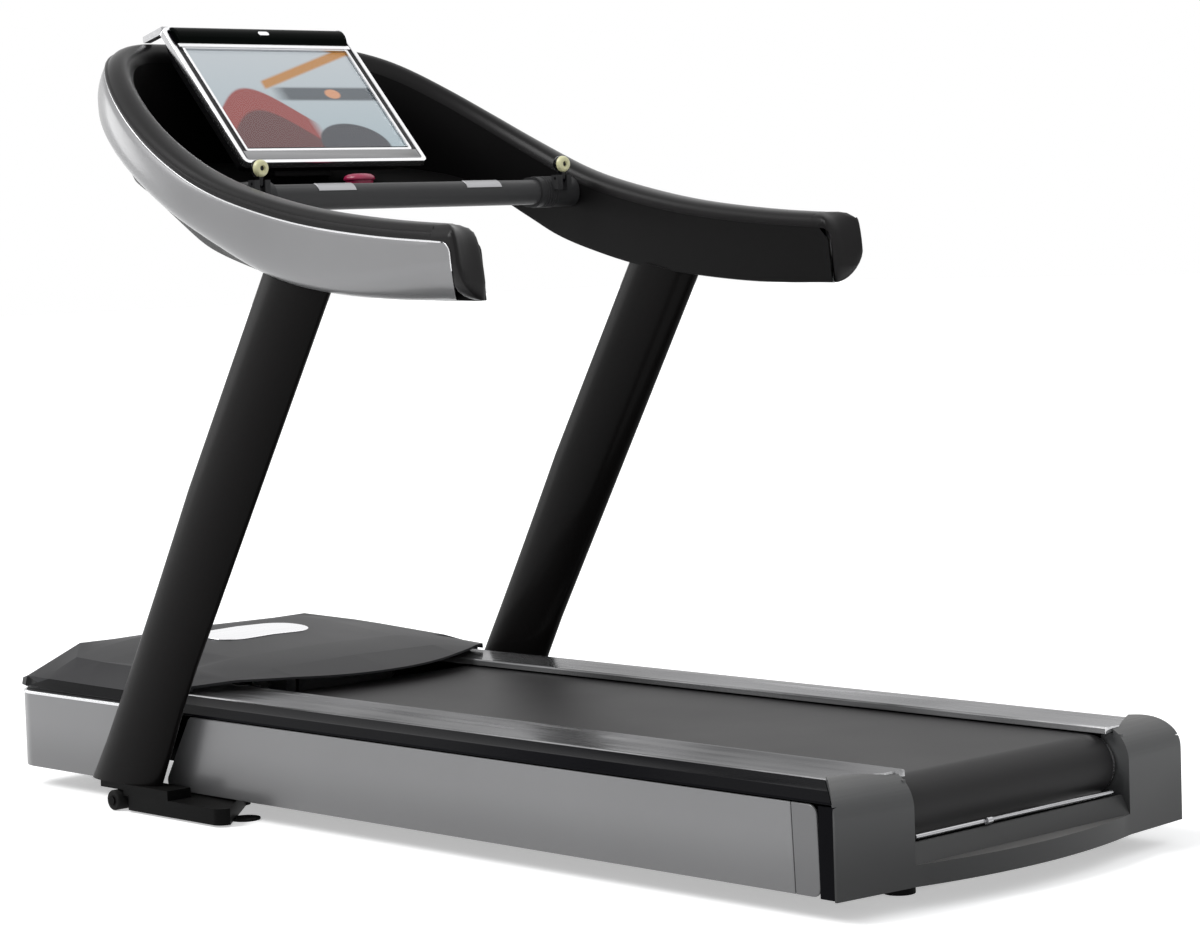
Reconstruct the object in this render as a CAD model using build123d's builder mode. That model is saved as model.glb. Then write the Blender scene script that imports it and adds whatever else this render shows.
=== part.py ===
from build123d import *
import os
from math import atan2, cos, radians, sin

# Gym treadmill. Millimetres, +Z up, +Y towards the console, X across the running belt.
# The origin is on the floor under the middle of the machine.
os.makedirs("parts", exist_ok=True)

# ---------------------------------------------------------------- driving dimensions
LENGTH = 2260.0
REAR = -LENGTH / 2
FRONT = LENGTH / 2
BASE_LOW = 38.0              # underside of the side panels above the floor
PANEL_TOP = 183.0            # upper edge of the silver side panels
PANEL_LOW_X = 419.0          # half width of the base at the panels' lower edge
PANEL_TOP_X = 425.0          # half width at their upper edge
BELT_TOP = 200.0             # running surface above the floor
BELT_WIDTH = 510.0
BELT_T = 2.5

# rollers and running deck
ROLLER_R = 47.2
BELT_IN_R = 47.5
BELT_OUT_R = BELT_IN_R + BELT_T
ROLLER_Z = BELT_TOP - BELT_OUT_R
REAR_ROLLER_Y = REAR + 107
FRONT_ROLLER_Y = REAR + 1650
ROLLER_HALF = 262.0
SHAFT_R = 10.0
RUN_CLEAR = 0.05             # radial running clearance of a shaft in its bore
BOARD_T = 25.0
BOARD_TOP = BELT_TOP - BELT_T - 0.1

# foot rails and side beams
RAIL_IN_X = 248.0
RAIL_OUT_X = 370.0
RAIL_IN_Z = 215.0
RAIL_OUT_Z = 212.0
BEAM_IN_X = 330.0
BEAM_OUT_X = 370.0
BEAM_LOW = 80.0
BEAM_TOP = 204.0
BEAM_WALL = 5.0
BEAM_FRONT_Y = FRONT - 60
CAP_HOLLOW_Y = REAR + 74     # behind this line the rear cap's hollow is lower
CAP_HOLLOW_Z = 186.0
BAY_Y = REAR + 1815          # where the rails end and the motor bay begins

# posts
POST_X = 459.5
POST_BASE_Y = REAR + 1869    # where a post's axis meets the floor plane
POST_LEAN = 31.85
POST_TOE = 0.5
POST_MAJOR = 86.0
POST_MINOR = 28.5
POST_WALL = 5.0
FOOT_TOP = 52.0

# console ring: two arms joined by a raised front, a horseshoe in plan
RING_HALF = 493.0
RING_REAR = REAR + 810
RING_STRAIGHT = REAR + 1512  # the arms are straight up to here
RING_CORNER_X = 285.0
RING_CORNER_Y = 525.0
RING_FRONT = RING_STRAIGHT + RING_CORNER_Y
RING_T = 70.0
SKIN_T = 8.0
RIM_H = 27.0
CAP_LENGTH = 26.0
RING_TOP_LINE = [(-336, 1043), (-130, 1058), (70, 1083), (252, 1122), (366, 1158),
                 (489, 1214), (597, 1272), (690, 1326), (790, 1384), (860, 1416), (940, 1444)]
# lower edges of the silver skin and of the dish's inner wall, which hangs lower
RING_LOW_LINE = [(-336, 944), (-130, 949), (70, 970), (186, 996), (326, 1050),
                 (456, 1108), (607, 1184), (707, 1236), (800, 1284), (940, 1342)]
INNER_LOW_LINE = [(-336, 944), (-130, 949), (70, 968), (190, 986), (326, 1020),
                  (410, 1048), (484, 1085), (570, 1130), (680, 1164), (780, 1184), (940, 1216)]

# grip bar
BAR_Y = REAR + 1500
BAR_Z = 1132.0
BAR_DEPTH = 60.0
BAR_HEIGHT = 48.0

# display
DISPLAY_W = 450.0
DISPLAY_H = 369.0
DISPLAY_TILT = 42.7          # lean away from the user, from the vertical
DISPLAY_Y = REAR + 1811
DISPLAY_Z = 1337.5
SCREEN_W = 396.0
SCREEN_H = 272.0
SCREEN_LOW = 39.0            # bottom border of the display

# incline mechanism
PIVOT_Y = REAR + 150
PIVOT_Z = 62.0
ARM_PIVOT_Y = REAR + 1250
ARM_Z = 55.0
ARM_LENGTH = 500.0
ARM_BAR_AT = 300.0           # cross bar of the lift arm, from its pivot
JACK_PIVOT_Y = REAR + 2040
SPINE_X = 120.0

# drive
MOTOR_Y = REAR + 1960
MOTOR_Z = 170.0
MOTOR_R = 62.0
PULLEY_X = 288.0
BIG_PULLEY_R = 50.0
SMALL_PULLEY_R = 22.0
DRIVE_BELT_T = 3.0
DRIVE_BELT_W = 22.0


def finish(piece, name):
    """Label a finished piece and write it as its own STEP file."""
    piece.part.label = name
    export_step(piece.part, f"parts/{name}.step")


def add_block(low, high, mode=Mode.ADD):
    """Add a box between two opposite corners to the piece being built."""
    size = [b - a for a, b in zip(low, high)]
    centre = [(a + b) / 2 for a, b in zip(low, high)]
    with Locations(tuple(centre)):
        Box(*size, mode=mode)


def add_rod(centre, radius, length, turn=(0, 90, 0), mode=Mode.ADD):
    """Add a cylinder about its centre, along X unless turned otherwise."""
    with Locations(Location(centre, turn)):
        Cylinder(radius, length, mode=mode)


def mirrored(source):
    """The left-hand twin of a finished right-hand piece."""
    with BuildPart() as twin:
        mirror(source.part, about=Plane.YZ)
    return twin


def both_sides(source):
    """A right-hand piece and its left-hand twin as one group of two solids."""
    with BuildPart() as pair:
        add(source.part)
        mirror(source.part, about=Plane.YZ)
    return pair


# ---------------------------------------------------------------- floor frame and feet
TUBE_LOW = 10.0
TUBE_TOP = 36.0

with BuildPart() as floor_frame:
    # two long rails close to the middle, with a cross tube at each end
    for side in (-1, 1):
        inner = side * (SPINE_X - 20)
        outer = side * (SPINE_X + 20)
        add_block((min(inner, outer), PIVOT_Y - 20, TUBE_LOW),
                  (max(inner, outer), JACK_PIVOT_Y + 25, TUBE_TOP))
        # clevis plates of the incline pivot
        for plate_x in (146, 168):
            x = side * plate_x
            add_block((x - 5, PIVOT_Y - 16, TUBE_TOP - 2), (x + 5, PIVOT_Y + 16, PIVOT_Z + 14))
        # plates that carry the lift arm's shaft
        x = side * (SPINE_X + 5)
        add_block((x - 7, ARM_PIVOT_Y - 18, TUBE_TOP - 2), (x + 7, ARM_PIVOT_Y + 18, ARM_Z + 16))
        # ears of the jack's trunnion
        x = side * 24
        add_block((x - 5, JACK_PIVOT_Y - 14, TUBE_TOP - 2), (x + 5, JACK_PIVOT_Y + 14, ARM_Z + 12))
    add_block((-205, PIVOT_Y - 20, TUBE_LOW), (205, PIVOT_Y + 20, TUBE_TOP))
    add_block((-SPINE_X, JACK_PIVOT_Y - 16, TUBE_LOW), (SPINE_X, JACK_PIVOT_Y + 16, TUBE_TOP))
    add_block((-300, REAR + 1725, TUBE_LOW), (300, REAR + 1785, TUBE_TOP))
    add_block((-300, REAR + 1530, TUBE_LOW), (300, REAR + 1570, TUBE_TOP))
    # bores for the pins
    add_rod((0, PIVOT_Y, PIVOT_Z), 6.0, 420, mode=Mode.SUBTRACT)
    add_rod((0, ARM_PIVOT_Y, ARM_Z), 8.0, 300, mode=Mode.SUBTRACT)
    add_rod((0, JACK_PIVOT_Y, ARM_Z), 6.0, 80, mode=Mode.SUBTRACT)
finish(floor_frame, "floor_frame")

FOOT_REAR = REAR + 1500
FOOT_FRONT = REAR + 1800
ROLLER_FOOT_Y = REAR + 1822
FOOT_ROLLER_R = 19.0
PAD_T = 4.0

with BuildPart() as foot_right:
    # flat foot under the panel, with the raised seat of the post outside it
    with BuildSketch(Plane.XY.offset(PAD_T)) as foot_plan:
        with Locations(((300 + 486) / 2, (FOOT_REAR + FOOT_FRONT) / 2)):
            RectangleRounded(186, FOOT_FRONT - FOOT_REAR, 22)
    extrude(amount=30)
    add_block((433, REAR + 1660, 30), (486, FOOT_FRONT, FOOT_TOP))
    add_block((433, FOOT_FRONT - 20, 40.5), (486, REAR + 1872, FOOT_TOP))
    add_block((433, REAR + 1790, 8), (455, REAR + 1845, 34))
    add_rod((460, ROLLER_FOOT_Y, 20), 6.0, 90, mode=Mode.SUBTRACT)
foot_brackets = both_sides(foot_right)
finish(foot_brackets, "foot_brackets")

with BuildPart() as rubber_feet:
    for side in (-1, 1):
        for y in (FOOT_REAR + 40, FOOT_FRONT - 60):
            with Locations((side * 400, y, PAD_T / 2)):
                Cylinder(28, PAD_T)
        with Locations((side * 175, PIVOT_Y, TUBE_LOW / 2)):
            Cylinder(26, TUBE_LOW)
finish(rubber_feet, "rubber_feet")

with BuildPart() as transport_roller_right:
    add_rod((476, ROLLER_FOOT_Y, 20), FOOT_ROLLER_R, 38)
    add_rod((476, ROLLER_FOOT_Y, 20), 6.0 + RUN_CLEAR, 60, mode=Mode.SUBTRACT)
    chamfer(transport_roller_right.edges().filter_by(GeomType.CIRCLE).group_by(SortBy.RADIUS)[-1], 2)
finish(transport_roller_right, "transport_roller_right")
transport_roller_left = mirrored(transport_roller_right)
finish(transport_roller_left, "transport_roller_left")


# ---------------------------------------------------------------- console ring
RING_BOTTOM_Z = 900.0
RING_DEPTH = 620.0


def ring_line(points, rise=0.0):
    """Points of a console ring edge in side view, raised by a constant height."""
    return [(y, z + rise) for y, z in points]


def side_band(low_line, top_line, half_width=RING_HALF + 20):
    """A prism across the machine between two side-view curves."""
    with BuildSketch(Plane.YZ.offset(-half_width)) as profile:
        with BuildLine():
            top = Spline(*top_line)
            low = Spline(*low_line)
            Line(top @ 0, low @ 0)
            Line(top @ 1, low @ 1)
        make_face()
    extrude(profile.sketch, amount=2 * half_width, mode=Mode.INTERSECT)


def ring_plan(inset, rear=RING_REAR):
    """Filled horseshoe outline in plan, inset from the ring's outer face."""
    half = RING_HALF - inset
    corner_x = RING_CORNER_X - inset
    corner_y = RING_CORNER_Y - inset
    flat = half - corner_x
    front = RING_STRAIGHT + corner_y
    with BuildSketch(Plane.XY.offset(RING_BOTTOM_Z)) as plan:
        with Locations((0, (RING_REAR + RING_STRAIGHT) / 2 - 50)):
            Rectangle(2 * half, RING_STRAIGHT - RING_REAR + 100)
        with Locations((flat, RING_STRAIGHT), (-flat, RING_STRAIGHT)):
            Ellipse(corner_x, corner_y)
        with Locations((0, RING_STRAIGHT)):
            Rectangle(2 * flat, 2 * corner_y)
        with Locations((0, (rear + front) / 2)):
            Rectangle(3 * RING_HALF, front - rear, mode=Mode.INTERSECT)
    return plan.sketch


def ring_wall(outer_inset, inner_inset, low_line, top_line):
    """A horseshoe wall between two insets and two side-view curves."""
    extrude(ring_plan(outer_inset), amount=RING_DEPTH)
    extrude(ring_plan(inner_inset, RING_REAR - 50), amount=RING_DEPTH, mode=Mode.SUBTRACT)
    side_band(low_line, top_line)


with BuildPart() as console_shell:
    ring_wall(0, SKIN_T, RING_LOW_LINE, RING_TOP_LINE)
finish(console_shell, "console_shell")

with BuildPart() as lining_floor:
    ring_wall(SKIN_T, RING_T - SKIN_T, RING_LOW_LINE, ring_line(RING_LOW_LINE, 6))

with BuildPart() as console_lining:
    ring_wall(RING_T - SKIN_T, RING_T, INNER_LOW_LINE, RING_TOP_LINE)
    add(lining_floor.part)
    # holes through which the grip bar reaches the flat bars inside the arms
    with BuildSketch(Plane.YZ.offset(-RING_HALF + 50)):
        with Locations((BAR_Y, BAR_Z)):
            RectangleRounded(BAR_DEPTH + 0.6, BAR_HEIGHT + 0.6, 21.3)
    extrude(amount=2 * (RING_HALF - 50), mode=Mode.SUBTRACT)
finish(console_lining, "console_lining")

# ---------------------------------------------------------------- posts
POST_REACH = 1500.0
lean = radians(POST_LEAN)
toe = radians(POST_TOE)
post_axis = Vector(-sin(toe), -sin(lean) * cos(toe), cos(lean) * cos(toe))
post_plane = Plane(origin=(POST_X, POST_BASE_Y, 0), x_dir=(0, cos(lean), sin(lean)), z_dir=post_axis)
with BuildPart() as post_right:
    with BuildSketch(post_plane.offset(-60)):
        Ellipse(POST_MAJOR, POST_MINOR)
    extrude(amount=POST_REACH)
    with BuildSketch(post_plane.offset(-60)):
        Ellipse(POST_MAJOR - POST_WALL, POST_MINOR - POST_WALL)
    extrude(amount=POST_REACH, mode=Mode.SUBTRACT)
    # keep what stands between the foot's seat and the underside of the arm
    with BuildSketch(Plane.YZ.offset(RING_HALF - 120)):
        with BuildLine():
            under_arm = Spline(*RING_LOW_LINE)
            Line(under_arm @ 1, (940, FOOT_TOP))
            Line((940, FOOT_TOP), (-336, FOOT_TOP))
            Line((-336, FOOT_TOP), under_arm @ 0)
        make_face()
    extrude(amount=200, mode=Mode.INTERSECT)
    add(console_lining.part, mode=Mode.SUBTRACT)
finish(post_right, "post_right")
post_left = mirrored(post_right)
finish(post_left, "post_left")

# ---------------------------------------------------------------- console rim, arms and tray
with BuildPart() as console_rim:
    ring_wall(0, RING_T, RING_TOP_LINE, ring_line(RING_TOP_LINE, RIM_H))
finish(console_rim, "console_rim")

with BuildPart() as arm_cap:
    # rounded end of an arm: straight below, round above
    rear = RING_REAR - CAP_LENGTH
    low = RING_LOW_LINE[0][1]
    top = RING_TOP_LINE[0][1] + RIM_H
    with BuildSketch(Plane.YZ.offset(RING_HALF - RING_T)) as cap_side:
        with BuildLine():
            Line((RING_REAR, low), (rear + 10, low))
            Line((rear + 10, low), (rear, low + 10))
            Line((rear, low + 10), (rear, top - 44))
            RadiusArc((rear, top - 44), (RING_REAR - 2, top), 56)
            Line((RING_REAR - 2, top), (RING_REAR, top))
            Line((RING_REAR, top), (RING_REAR, low))
        make_face()
    extrude(amount=RING_T)
    upright = arm_cap.edges().filter_by(Axis.Z).group_by(Axis.Y)[0]
    fillet(upright, radius=6)
arm_caps = both_sides(arm_cap)
finish(arm_caps, "arm_caps")

ARM_FRAME_X = 443.0
with BuildPart() as arm_frame:
    # flat bar inside each arm, carried by the post and carrying the grip bar
    add_block((ARM_FRAME_X, RING_REAR + 70, 940), (ARM_FRAME_X + 30, BAR_Y + 60, 1160))
    side_band(ring_line(RING_LOW_LINE, 26), ring_line(RING_LOW_LINE, 88))
arm_frames = both_sides(arm_frame)
finish(arm_frames, "arm_frames")

TRAY_REAR = BAR_Y + BAR_DEPTH / 2 + 5.5
TRAY_T = 8.0
TRAY_Z = 1138.0
# the tray is level under the user's hands and rises towards the front
TRAY_LINE = [(TRAY_REAR, TRAY_Z), (560, TRAY_Z), (680, TRAY_Z + 33), (780, TRAY_Z + 53),
             (RING_FRONT, TRAY_Z + 78)]
with BuildPart() as console_tray:
    extrude(ring_plan(RING_T, TRAY_REAR), amount=RING_DEPTH)
    with BuildSketch(Plane.YZ.offset(-RING_HALF)):
        with BuildLine():
            Polyline(*TRAY_LINE, *reversed(ring_line(TRAY_LINE, TRAY_T)), close=True)
        make_face()
    extrude(amount=2 * RING_HALF, mode=Mode.INTERSECT)
finish(console_tray, "console_tray")

# ---------------------------------------------------------------- grip bar and finger levers
SLEEVE_IN_X = 325.0
SLEEVE_OUT_X = RING_HALF - RING_T - 0.8
SLEEVE_LENGTH = SLEEVE_OUT_X - SLEEVE_IN_X
LEVER_X = 370.0
LEVER_Y = BAR_Y - 41
LEVER_Z = BAR_Z + 25
PIN_R = 3.0
with BuildPart() as grip_bar:
    with BuildSketch(Plane.YZ.offset(-ARM_FRAME_X)):
        with Locations((BAR_Y, BAR_Z)):
            RectangleRounded(BAR_DEPTH, BAR_HEIGHT, 21)
    extrude(amount=2 * ARM_FRAME_X)
    add(console_rim.part, mode=Mode.SUBTRACT)
finish(grip_bar, "grip_bar")

with BuildPart() as bar_sleeve:
    with BuildSketch(Plane.YZ.offset(SLEEVE_IN_X)):
        with Locations((BAR_Y, BAR_Z)):
            RectangleRounded(BAR_DEPTH + 10, BAR_HEIGHT + 10, 26)
    extrude(amount=SLEEVE_LENGTH)
    with BuildSketch(Plane.YZ.offset(SLEEVE_IN_X)):
        with Locations((BAR_Y, BAR_Z)):
            RectangleRounded(BAR_DEPTH, BAR_HEIGHT, 21)
    extrude(amount=SLEEVE_LENGTH, mode=Mode.SUBTRACT)
    # socket of the control lever, behind and above the bar
    for x in (LEVER_X - 12, LEVER_X + 12):
        add_block((x - 6, LEVER_Y - 9, BAR_Z + 4), (x + 6, LEVER_Y + 10, LEVER_Z + 7))
    add_rod((LEVER_X, LEVER_Y, LEVER_Z), PIN_R, 60, mode=Mode.SUBTRACT)
bar_sleeves = both_sides(bar_sleeve)
finish(bar_sleeves, "bar_sleeves")

with BuildPart() as hinge_pins:
    # pins and axles of the floor frame, the transport rollers and the control levers
    for side in (-1, 1):
        add_rod((side * 157, PIVOT_Y, PIVOT_Z), 6.0, 36)
        add_rod((side * 141, ARM_PIVOT_Y, ARM_Z), 8.0, 62)
        add_rod((side * 464, ROLLER_FOOT_Y, 20), 6.0, 64)
        add_rod((side * 497, ROLLER_FOOT_Y, 20), 9.0, 3)
        add_rod((side * LEVER_X, LEVER_Y, LEVER_Z), PIN_R, 34)
    add_rod((0, JACK_PIVOT_Y, ARM_Z), 6.0, 62)
finish(hinge_pins, "hinge_pins")

with BuildPart() as speed_lever:
    # round finger knob facing the user, on a short neck with an eye on its pin
    add_rod((LEVER_X, LEVER_Y - 1, LEVER_Z + 28), 16.0, 22, turn=(90, 0, 0))
    fillet(speed_lever.edges().filter_by(GeomType.CIRCLE), radius=5)
    add_block((LEVER_X - 4.5, LEVER_Y - 5, LEVER_Z), (LEVER_X + 4.5, LEVER_Y + 5, LEVER_Z + 17))
    add_rod((LEVER_X, LEVER_Y, LEVER_Z), 6.5, 11)
    add_rod((LEVER_X, LEVER_Y, LEVER_Z), PIN_R + RUN_CLEAR, 20, mode=Mode.SUBTRACT)
finish(speed_lever, "speed_lever")
incline_lever = mirrored(speed_lever)
finish(incline_lever, "incline_lever")

with BuildPart() as pulse_sensors:
    for x in (-210, -150, 150, 210):
        with Locations((x, BAR_Y - 4, BAR_Z + BAR_HEIGHT / 2 + 0.75)):
            Box(46, 30, 1.5)
finish(pulse_sensors, "pulse_sensors")

# ---------------------------------------------------------------- stop button
STOP_Y = REAR + 1628
STOP_Z = TRAY_Z + TRAY_T
with BuildPart() as stop_ring:
    with BuildSketch(Plane.XY.offset(STOP_Z)):
        with Locations((0, STOP_Y)):
            Circle(38)
            Circle(27, mode=Mode.SUBTRACT)
    extrude(amount=12)
    chamfer(stop_ring.edges().filter_by(GeomType.CIRCLE).group_by(Axis.Z)[-1], 2)
finish(stop_ring, "stop_ring")

with BuildPart() as stop_button:
    # mushroom head on a short stem
    with Locations((0, STOP_Y, STOP_Z + 25)):
        Cylinder(30, 13)
    fillet(stop_button.edges().group_by(Axis.Z)[-1], radius=10)
    with Locations((0, STOP_Y, STOP_Z + 12.5)):
        Cylinder(26.5, 13)
finish(stop_button, "stop_button")

# ---------------------------------------------------------------- display
tilt = radians(DISPLAY_TILT)
face = Plane(origin=(0, DISPLAY_Y, DISPLAY_Z), x_dir=(1, 0, 0), z_dir=(0, -cos(tilt), sin(tilt)))
SCREEN_V = -DISPLAY_H / 2 + SCREEN_LOW + SCREEN_H / 2     # screen centre, up the face
VISOR_LOW = SCREEN_LOW + SCREEN_H + 9                     # lower edge of the visor, up the face
VISOR_H = DISPLAY_H - VISOR_LOW
VISOR_V = -DISPLAY_H / 2 + VISOR_LOW + VISOR_H / 2
BEZEL_T = 14.0
HOUSING_T = 46.0
WING_X = 208.0
WING_FRONT = REAR + 1998
WING_Z = 1452.0

with BuildPart() as display_bezel:
    with BuildSketch(face.offset(-BEZEL_T)):
        RectangleRounded(DISPLAY_W, DISPLAY_H, 12)
        with Locations((0, SCREEN_V)):
            Rectangle(SCREEN_W, SCREEN_H, mode=Mode.SUBTRACT)
        with Locations((0, VISOR_V)):
            Rectangle(DISPLAY_W - 36, VISOR_H, mode=Mode.SUBTRACT)
    extrude(amount=BEZEL_T)
finish(display_bezel, "display_bezel")

with BuildPart() as display_glass:
    with BuildSketch(face.offset(-7)):
        with Locations((0, SCREEN_V)):
            Rectangle(SCREEN_W, SCREEN_H)
    extrude(amount=4)
finish(display_glass, "display_glass")

with BuildPart() as display_panel:
    with BuildSketch(face.offset(-BEZEL_T)):
        with Locations((0, SCREEN_V)):
            Rectangle(SCREEN_W, SCREEN_H)
    extrude(amount=7)
finish(display_panel, "display_panel")

with BuildPart() as display_visor:
    # hood over the top edge of the screen, swelling forwards to its crown
    with BuildSketch(Plane.YZ.offset(-(DISPLAY_W - 36) / 2)):
        with BuildLine():
            p_low = face.from_local_coords((0, VISOR_V - VISOR_H / 2, -BEZEL_T))
            p_front = face.from_local_coords((0, VISOR_V - VISOR_H / 2, 0))
            p_mid = face.from_local_coords((0, VISOR_V + VISOR_H / 4, 9))
            p_top = face.from_local_coords((0, VISOR_V + VISOR_H / 2, -6))
            p_back = face.from_local_coords((0, VISOR_V + VISOR_H / 2, -BEZEL_T))
            Line((p_low.Y, p_low.Z), (p_front.Y, p_front.Z))
            ThreePointArc((p_front.Y, p_front.Z), (p_mid.Y, p_mid.Z), (p_top.Y, p_top.Z))
            Line((p_top.Y, p_top.Z), (p_back.Y, p_back.Z))
            Line((p_back.Y, p_back.Z), (p_low.Y, p_low.Z))
        make_face()
    extrude(amount=DISPLAY_W - 36)
finish(display_visor, "display_visor")

with BuildPart() as display_sensor:
    with BuildSketch(face.offset(4)):
        with Locations((0, VISOR_V - 4)):
            SlotOverall(26, 10)
    extrude(amount=10)
    add(display_visor.part, mode=Mode.SUBTRACT)
finish(display_sensor, "display_sensor")

with BuildPart() as display_housing:
    # back shell with a neck down to the tray
    with BuildSketch(face.offset(-BEZEL_T)):
        RectangleRounded(DISPLAY_W - 8, DISPLAY_H - 8, 12)
    with BuildSketch(face.offset(-BEZEL_T - HOUSING_T)):
        RectangleRounded(DISPLAY_W - 70, DISPLAY_H - 70, 12)
    loft()
finish(display_housing, "display_housing")

with BuildPart() as display_neck:
    # stalk between the tray and the back of the housing
    add_block((-70, REAR + 1800, 1150), (70, REAR + 1880, 1330))
    with BuildSketch(Plane.YZ.offset(-80)):
        with BuildLine():
            back_low = face.from_local_coords((0, -160, -BEZEL_T - HOUSING_T - 2))
            back_high = face.from_local_coords((0, 160, -BEZEL_T - HOUSING_T - 2))
            Polyline(*ring_line(TRAY_LINE[1:4], TRAY_T), (back_high.Y, back_high.Z),
                     (back_low.Y, back_low.Z), close=True)
        make_face()
    extrude(amount=160, mode=Mode.INTERSECT)
finish(display_neck, "display_neck")

with BuildPart() as display_wing:
    # silver strip from the display's top corner forwards and down on to the ring's rim
    top_corner = face.from_local_coords((0, DISPLAY_H / 2, 0))
    back_corner = face.from_local_coords((0, DISPLAY_H / 2, -BEZEL_T))
    with BuildSketch(Plane.YZ.offset(WING_X)):
        with BuildLine():
            Polyline((top_corner.Y, top_corner.Z - 0.3), (WING_FRONT, WING_Z + 5), (WING_FRONT, WING_Z - 8),
                     (back_corner.Y - 6, back_corner.Z - 6), close=True)
        make_face()
    extrude(amount=DISPLAY_W / 2 - 1 - WING_X)
    add(console_rim.part, mode=Mode.SUBTRACT)
    add(display_bezel.part, mode=Mode.SUBTRACT)
    add(display_housing.part, mode=Mode.SUBTRACT)
    add(display_visor.part, mode=Mode.SUBTRACT)
display_wings = both_sides(display_wing)
finish(display_wings, "display_wings")

# ---------------------------------------------------------------- side beams and cross members
with BuildPart() as deck_beam:
    add_block((BEAM_IN_X, REAR + 66, BEAM_LOW), (BEAM_OUT_X, BEAM_FRONT_Y, BEAM_TOP))
    add_block((BEAM_IN_X + BEAM_WALL, REAR + 60, BEAM_LOW + BEAM_WALL),
              (BEAM_OUT_X - BEAM_WALL, FRONT, BEAM_TOP - BEAM_WALL), mode=Mode.SUBTRACT)
    # outriggers that carry the side panel and the sloping band
    for y in (250, 700, 1150, 1560):
        add_block((BEAM_OUT_X, REAR + y - 12, 100), (412, REAR + y + 12, 170))
    # notch under the rear cap's rolled edge
    add_block((BEAM_IN_X - 1, REAR + 65, CAP_HOLLOW_Z - 0.5),
              (BEAM_OUT_X + 1, CAP_HOLLOW_Y + 0.5, BEAM_TOP + 1), mode=Mode.SUBTRACT)
    # slots for the rear roller's shaft
    add_block((BEAM_IN_X - 1, REAR_ROLLER_Y - 22, ROLLER_Z - SHAFT_R),
              (BEAM_OUT_X + 1, REAR_ROLLER_Y + 22, ROLLER_Z + SHAFT_R), mode=Mode.SUBTRACT)
    add_rod((350, FRONT_ROLLER_Y, ROLLER_Z), SHAFT_R, 60, mode=Mode.SUBTRACT)
deck_beams = both_sides(deck_beam)
finish(deck_beams, "deck_beams")

CROSS_TOP = BOARD_TOP - BOARD_T - 20
CROSS_AT = (300, 700, 1100, 1480)
PUSH_LOW = 75.0
with BuildPart() as cross_members:
    for y in CROSS_AT:
        add_block((-BEAM_IN_X, REAR + y - 25, CROSS_TOP - 40), (BEAM_IN_X, REAR + y + 25, CROSS_TOP))
        add_block((-BEAM_IN_X - 1, REAR + y - 21, CROSS_TOP - 36),
                  (BEAM_IN_X + 1, REAR + y + 21, CROSS_TOP - 4), mode=Mode.SUBTRACT)
    # rear cross bar under the belt with the two ears of the incline pivot
    add_block((-BEAM_IN_X, PIVOT_Y - 28, 80), (BEAM_IN_X, PIVOT_Y + 28, 96))
    for side in (-1, 1):
        add_block((side * 157 - 5, PIVOT_Y - 14, PIVOT_Z - 12), (side * 157 + 5, PIVOT_Y + 14, 81))
    add_rod((0, PIVOT_Y, PIVOT_Z), 6.0 + RUN_CLEAR, 400, mode=Mode.SUBTRACT)
    # flat bar that the lift arm's rollers push against
    add_block((-BEAM_IN_X, REAR + 1680, PUSH_LOW), (BEAM_IN_X, REAR + 1790, PUSH_LOW + 20))
finish(cross_members, "cross_members")

# ---------------------------------------------------------------- running deck
with BuildPart() as running_board:
    add_block((-262, REAR + 185, BOARD_TOP - BOARD_T), (262, REAR + 1570, BOARD_TOP))
    edges = running_board.edges().filter_by(Axis.X).group_by(Axis.Z)[-1]
    fillet(edges, radius=8)
finish(running_board, "running_board")

with BuildPart() as board_cushions:
    for y in CROSS_AT:
        for side in (-1, 1):
            with Locations((side * 220, REAR + y, BOARD_TOP - BOARD_T - 10)):
                Cylinder(22, 20)
finish(board_cushions, "board_cushions")


def belt_loop(plane, first, first_r, second, second_r, width):
    """A closed belt path round two rollers, filled, as wide as the belt."""
    with BuildSketch(plane) as loop:
        with Locations(first):
            Circle(first_r)
        with Locations(second):
            Circle(second_r)
        make_hull()
    extrude(loop.sketch, amount=width)


rear_centre = (REAR_ROLLER_Y, ROLLER_Z)
front_centre = (FRONT_ROLLER_Y, ROLLER_Z)
with BuildPart() as belt_space:
    belt_loop(Plane.YZ.offset(-BELT_WIDTH / 2), rear_centre, BELT_IN_R, front_centre, BELT_IN_R, BELT_WIDTH)
with BuildPart() as running_belt:
    belt_loop(Plane.YZ.offset(-BELT_WIDTH / 2), rear_centre, BELT_OUT_R, front_centre, BELT_OUT_R,
              BELT_WIDTH)
    add(belt_space.part, mode=Mode.SUBTRACT)
finish(running_belt, "running_belt")


def roller(y):
    """Steel roller tube with an end disc and bore at each end."""
    with BuildPart() as tube:
        add_rod((0, y, ROLLER_Z), ROLLER_R, 2 * ROLLER_HALF)
        add_rod((0, y, ROLLER_Z), ROLLER_R - 5, 2 * (ROLLER_HALF - 12), mode=Mode.SUBTRACT)
        add_rod((0, y, ROLLER_Z), SHAFT_R + RUN_CLEAR, 2 * ROLLER_HALF + 4, mode=Mode.SUBTRACT)
    return tube


rear_roller = roller(REAR_ROLLER_Y)
finish(rear_roller, "rear_roller")
front_roller = roller(FRONT_ROLLER_Y)
finish(front_roller, "front_roller")

with BuildPart() as roller_shafts:
    # fixed shafts held in the two side beams
    for y in (REAR_ROLLER_Y, FRONT_ROLLER_Y):
        add_rod((0, y, ROLLER_Z), SHAFT_R, 2 * BEAM_OUT_X + 2)
finish(roller_shafts, "roller_shafts")

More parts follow.
